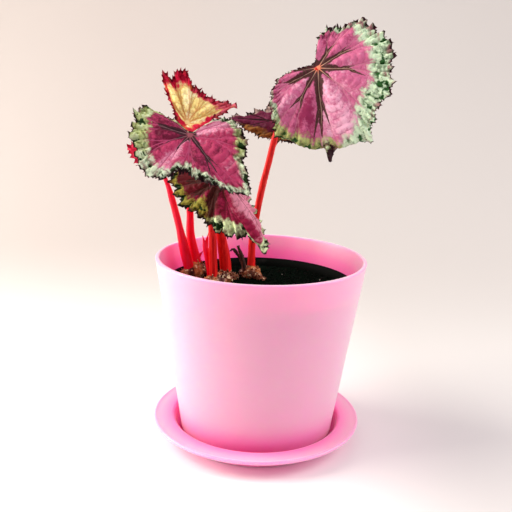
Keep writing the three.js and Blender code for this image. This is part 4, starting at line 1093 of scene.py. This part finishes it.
def build_blade(name, leaf):
    """A closed thin blade with its veins, and the fields that its markings and spines follow."""
    reach_at = lambda degrees: round_curve(leaf["lobes"], degrees)
    rolled = leaf.get("rolled", {})
    tip = max(leaf["lobes"], key=lambda lobe: lobe[1])[0]
    degrees, tooth = tooth_spokes(leaf, reach_at)
    spokes, rings = len(degrees), BLADE["rings"]
    count = 1 + rings * spokes
    over = lambda grid, centre=0.0: np.r_[centre, np.broadcast_to(grid, (rings, spokes)).ravel()]

    # the outline, waves and rolled margin, as a flat grid of rings and spokes
    share = 1 - (1 - np.arange(1, rings + 1) / rings) ** BLADE["crowding"]
    q = share[:, None]
    reach, turn = reach_at(degrees), np.radians(degrees)
    waves = leaf["ripples"]
    wave = np.cos(waves * np.radians(degrees - tip))
    size = np.minimum(1, reach / BLADE["full_reach"])
    rim = step_up(q, BLADE["wave_from"], 1)
    radius = q * reach * (1 + BLADE["toothing"] * (wave - 0.5) * size * rim)
    roll_band = np.minimum(leaf["roll_band"], BLADE["roll_share"] * reach)
    roll = np.radians(round_curve([(a, rolled.get(a, 0)) for a, _ in leaf["lobes"]], degrees))
    roll = np.maximum(roll, 1e-4) / roll_band
    past = np.maximum(0, radius - (reach - roll_band))
    rolled_in = radius - past + np.sin(roll * past) / roll
    dip = (1 - np.cos(roll * past)) / roll

    # the relief: swellings between the main veins, waves, frill and quilted blisters
    ahead = (np.array([v[0] for v in leaf["veins"]])[:, None] - degrees) % 360
    to_right, to_left = ahead.min(0), (360 - ahead).min(0)
    pillow = np.sin(np.pi * to_left / (to_left + to_right)) ** 2
    puff = leaf["puff"] * size * pillow * step_up(radius, 2, 16) * (1 - 0.7 * rim)
    uneven = 0.8 + 0.3 * np.sin(5 * turn + waves)
    frill = np.sin(turn * (2 * waves + 5) + 2 * np.sin(7 * turn) + 14 * q)
    frill = frill + 0.7 * np.sin(turn * (3 * waves - 7) + 2 * np.cos(4 * turn) - 18 * q)
    ripple = leaf["ripple"] * uneven * size * wave * rim
    ripple = ripple + leaf["frill"] * size * frill * step_up(q, BLADE["frill_from"], 1)
    flat = np.concatenate([[[0.0, 0.0]], polar(degrees, radius).reshape(-1, 2)])
    main, thick, net, forks, dark = vein_lines(leaf, reach_at)
    away, which = nearest(main, flat)
    vein = np.exp(-((away / (0.35 + 0.5 * thick[which])) ** 2)) * np.minimum(1, 0.35 + thick[which])
    away_net, _ = nearest(net, flat)
    twig = np.exp(-((away_net / BLADE["net_width"]) ** 2))
    blister = 1 - np.exp(-((np.minimum(away, away_net * 1.2) / BLADE["blister"]) ** 2))
    from_stalk = over(radius)
    quilt = leaf["quilt"] * blister * step_up(from_stalk, 1.5, 9)
    quilt = quilt - BLADE["groove"] * vein * step_up(from_stalk, 0, 3)
    points = bent(leaf, JOINTS[name], over(rolled_in * np.cos(turn)), over(rolled_in * np.sin(turn)),
                  over(puff + ripple - dip) + quilt)

    # the sheet in space, its teeth and its two sides
    quads, hub = web(rings, spokes, 1), fan(0, 1, spokes)
    sheet = np.concatenate([quads, np.column_stack([hub, hub[:, 0]])])
    last = np.arange(count - spokes, count)
    edge = points[last]
    outward = np.cross(np.roll(edge, -1, 0) - np.roll(edge, 1, 0), face_normals(points, sheet)[last])
    outward /= np.maximum(np.linalg.norm(outward, axis=1, keepdims=True), 1e-9)
    near_rim = step_up(share, BLADE["teeth_from"], 1)
    push = near_rim[:, None] ** 1.6 * tooth
    points[1:] += (push[..., None] * outward).reshape(-1, 3)
    normals = face_normals(points, sheet)
    thinner = step_up(share, BLADE["thin_from"], 1)[:, None]
    half = over(BLADE["half"] + (BLADE["half_rim"] - BLADE["half"]) * thinner, BLADE["half"])
    ridge = (BLADE["vein_ridge"] * vein + BLADE["net_ridge"] * twig) * over(1 - near_rim[:, None], 1.0)
    top = points + normals * half[:, None]
    under = points - normals * (half + ridge)[:, None]
    tops = quads.tolist() + hub.tolist()
    unders = [[i + count for i in reversed(face)] for face in tops]
    beyond = np.roll(last, -1)
    rims = np.stack([beyond, last, last + count, beyond + count], 1).tolist()
    blade = new_mesh("leaf_" + name, (np.concatenate([top, under]) * MM).tolist(), tops + unders + rims)

    # what the markings follow: dark bands along the veins, distance to the margin, tooth tips
    margin = over(reach * (1 + 0.5 * BLADE["toothing"] * (wave - 1) * size) * (1 - q), 99.0)
    around = over(degrees)
    width, warm, pale, dark_rim = (round_curve([(m[0], m[i]) for m in leaf["marks"]], around)
                                   for i in (1, 2, 3, 4))
    band = np.clip(1.4 - from_stalk / leaf["heart"], 0, 1)
    for angle, length, broad in leaf["veins"]:
        lean = np.radians((around - angle + 180) % 360 - 180)
        across = np.where(np.abs(lean) < 1.2, np.abs(from_stalk * np.sin(lean)), 99)
        room = broad * np.clip(1 - from_stalk / length, 0, 1) ** 0.6 * np.minimum(1, 0.45 + from_stalk / 8)
        band = np.maximum(band, np.clip(1.3 - across / np.maximum(room, 1e-3), 0, 1))
    away_fork, beside = nearest(forks, flat)
    band = np.maximum(band, np.clip(1.3 - away_fork / np.maximum(dark[beside], 1e-3), 0, 1))
    fields = {"vein": vein, "twig": twig, "band": band, "border": np.minimum(margin / width, 3),
              "margin": np.clip(margin / dark_rim, 0, 20), "warm": warm, "pale": pale,
              "junction": from_stalk, "crest": over(wave)}
    mark(blade.data, **{key: np.concatenate([values, values]) for key, values in fields.items()})
    none = np.zeros(count)
    tips, aim = np.zeros(2 * count), np.zeros((2 * count, 3))
    higher = (tooth > np.roll(tooth, 1)) & (tooth > np.roll(tooth, -1))
    tips[last] = higher & (tooth > BLADE["spine_on"])
    aim[last] = outward
    spread = np.column_stack([flat, none + leaf["seed"] * 20.0]) * MM
    mark(blade.data, spine=tips, under=np.r_[none, none + 1], flat=np.concatenate([spread, spread]),
         outward=aim)
    return blade


def fringe_tree():
    """Sets a fine spine on the tip of each higher tooth of the margin that is marked for one."""
    tree, value, finish_with = new_tree("fringe", ["Spine Length", "Spine Width"], ["Seed"])
    chosen = node(tree, "FunctionNodeCompare", {0: stored(tree, "spine"), 1: 0.5}, operation="GREATER_THAN")
    tips = node(tree, "GeometryNodeMeshToPoints", {"Mesh": value["Geometry"], "Selection": chosen})
    spine = node(tree, "GeometryNodeMeshCone", {"Vertices": 5, "Radius Top": 0.0,
                                                "Radius Bottom": value["Spine Width"],
                                                "Depth": value["Spine Length"]})
    sunk = node(tree, "GeometryNodeTransform", {"Geometry": spine, "Translation": (0, 0, -0.4 * MM)})
    spines = planted(tree, tips, sunk, stored(tree, "outward", "FLOAT_VECTOR"), stray=0.35,
                     size=chance(tree, 0.6, 1.3, value["Seed"]), seed=value["Seed"])
    return finish_with(joined(tree, spines, value["Geometry"]))


# Hollow is the dark green of the margin's patches, partly its own mottle and partly painted shade
TINTED = ["Field", "Deep Field", "Pale Field", "Band", "Vein", "Thread", "Junction", "Border",
          "Warm Border", "Hollow", "Rim", "Underside"]
# the colours of these parts, leaf by leaf, as they look on screen; the low leaf's dark field and
# band colours and the rear leaf's dark field and tan margin are partly painted shade, for leaves that
# sit in the shade of the others
TINTS = {
    "tall": "c4648c 8c2a52 f0b4ce 46302a c09a88 cc8098 f2906e cfe4c4 b0b873 2c582a 2c0e18 8c2c48",
    "front": "ae3860 601430 d890ac 382028 7d5a62 b85078 8e4c58 d2dfc2 a3ac66 1f3a1a 1e0a10 8c2c48",
    "low": "901a40 500610 d8889e 300804 4c241a 5c1c24 f2906e d4e6b2 8c8434 122a0c 1c0808 8c2c48",
    "young": "f4de90 c8682c fff8cc e8b878 fdf4c8 e0a060 f4d89c d01a40 e06a7c a00c2e 64041c c4485a",
    "rear": "5e1c38 340c16 8c3e60 240a10 5c2430 3c0e1a f2906e a8908a 845428 3a2a20 1c080e 8c2c48",
    "bud": "d41c40 980c28 f05c78 b81c40 e88a90 900820 e0443c e03454 e03454 9c1434 9c1030 c83050",
}


def leaf_marking():
    """Markings of a leaf, from the fields of its blade: mottled field, dark bands and pale lines
    on the veins, pale ruffled margin with dark green patches that are partly its own mottle and partly
    painted shade in the valleys of its waves, dark rim, and the plain underside."""
    group, value, finish_with = new_skin("leaf_marking", TINTED, ["Rim Width", "Hollows", "Gloss"])
    (field_tone, deep, pale, dark, pale_vein, thread, spot, border_tone, warm, green_and_shade_tone, rim_tone,
     underside) = (value[label] for label in TINTED)
    vein, twig, border, margin, junction = (
        read(group, name) for name in ("vein", "twig", "border", "margin", "junction"))
    flat = read(group, "flat", "Vector")
    broad = speckle(flat, 90.0, 3.0)
    medium = speckle(flat, 260.0, 4.0, 0.6)
    fine = speckle(flat, 900.0, 4.0, 0.65)
    patch = speckle(flat, 210.0, 3.0, 0.55)
    swing = lambda pattern, size: times(minus(pattern, 0.5), size)
    falls = lambda what, low, high: minus(1.0, rises(what, low, high))

    # the field between the veins, and the dark bands along them
    tone = plus(plus(read(group, "pale"), swing(medium, 2.6)), swing(broad, 2.8))
    tone = plus(tone, swing(fine, 1.4))
    field = mix(rises(tone, -1.1, -0.1), deep, field_tone)
    field = mix(rises(tone, 0.1, 1.3), field, pale)
    # darker along the small veins, in the grooves between the blisters: partly the veins' own colour, partly
    # painted shade in those grooves
    field = mix(times(0.45, rises(twig, 0.2, 0.9)), field, deep)
    field = mix(times(0.75, rises(vein, 0.3, 0.8)), field, thread)
    band = rises(plus(read(group, "band"), swing(medium, 1.5)), 0.3, 0.62)
    tint = mix(rises(fine, 0.4, 0.7), dark, deep)
    colour = mix(band, field, mix(0.35, dark, tint))

    # the pale margin: silver and warm patches, green mottle, dark green patches that are partly painted
    # shade in the valleys of its waves, and a rosy blush
    reach_in = plus(border, plus(swing(medium, 1.0), swing(fine, 0.3)))
    edge = falls(plus(reach_in, times(0.35, vein)), 0.74, 1.16)
    warmth = rises(plus(read(group, "warm"), swing(medium, 1.0)), 0.25, 0.8)
    silver = mix(warmth, border_tone, warm)
    green = rises(plus(medium, swing(fine, 0.6)), 0.49, 0.63)
    silver = mix(times(0.6, green), silver, green_and_shade_tone)
    # painted shade: the dark green patches lean towards the valleys of the margin's waves
    low_spot = minus(swing(patch, 4.0), times(0.15, read(group, "crest")))
    hollow = rises(plus(low_spot, value["Hollows"]), 0.5, 0.75)
    silver = mix(times(hollow, falls(border, 0.55, 0.95)), silver, green_and_shade_tone)
    away = minus(0.8, rises(margin, 1.5, 5.0))
    blush = times(rises(swing(patch, -1.0), 0.0, 0.14), away)
    silver = mix(calc("MAXIMUM", blush, 0.0), silver, deep)
    colour = mix(edge, colour, silver)

    # the pale line on each vein, the dark rim and the spot over the stalk
    line = times(rises(vein, 0.65, 0.95), band)
    near = falls(junction, 1.2, 5.0)
    colour = mix(line, colour, mix(near, pale_vein, spot))
    rim_spread = minus(margin, swing(medium, 3.6))
    rim = falls(minus(rim_spread, value["Rim Width"]), -0.4, 0.5)
    colour = mix(rim, colour, rim_tone)
    joint = falls(minus(junction, times(0.9, vein)), 0.4, 1.4)
    colour = mix(joint, colour, spot)

    # the underside, with its raised veins
    ribs = calc("MAXIMUM", rises(vein, 0.3, 0.8), times(0.6, rises(twig, 0.3, 0.9)))
    back = mix(times(0.75, ribs), underside, spot)
    back = mix(times(0.35, rises(medium, 0.45, 0.7)), back, deep)
    colour = mix(read(group, "under"), colour, back)
    rough = calc("MULTIPLY_ADD", medium, 0.3, value["Gloss"])
    grain = calc("MULTIPLY_ADD", medium, 0.6, fine)
    return finish_with(colour, rough, grain, strength=0.5, depth=0.3 * MM)


marking = leaf_marking()
# how much of each margin turns dark green, partly mottle and partly painted shade in its valleys
GREEN_AND_SHADED_HOLLOWS = {"tall": 0.36, "front": 0.36, "low": 0.4, "young": 0.1, "rear": 0.0, "bud": 0.0}
fringe = fringe_tree()
for name, leaf in LEAVES.items():
    blade_skin = wear(*new_material("leaf_skin_" + name, Specular_IOR_Level=0.08, Subsurface_Weight=0.05,
                                    Subsurface_Scale=0.001),
                      marking, **dict(zip(TINTED, TINTS[name].split())), Rim_Width=0.7,
                      Hollows=GREEN_AND_SHADED_HOLLOWS[name], Gloss=0.4)
    blade = grown(build_blade(name, leaf), fringe, spine_length=0.9 * MM, spine_width=0.16 * MM,
                  seed=leaf["seed"], material=blade_skin)
    settle(blade, "young_leaf" if name in ("young", "bud") else "leaf", "blade_" + name)
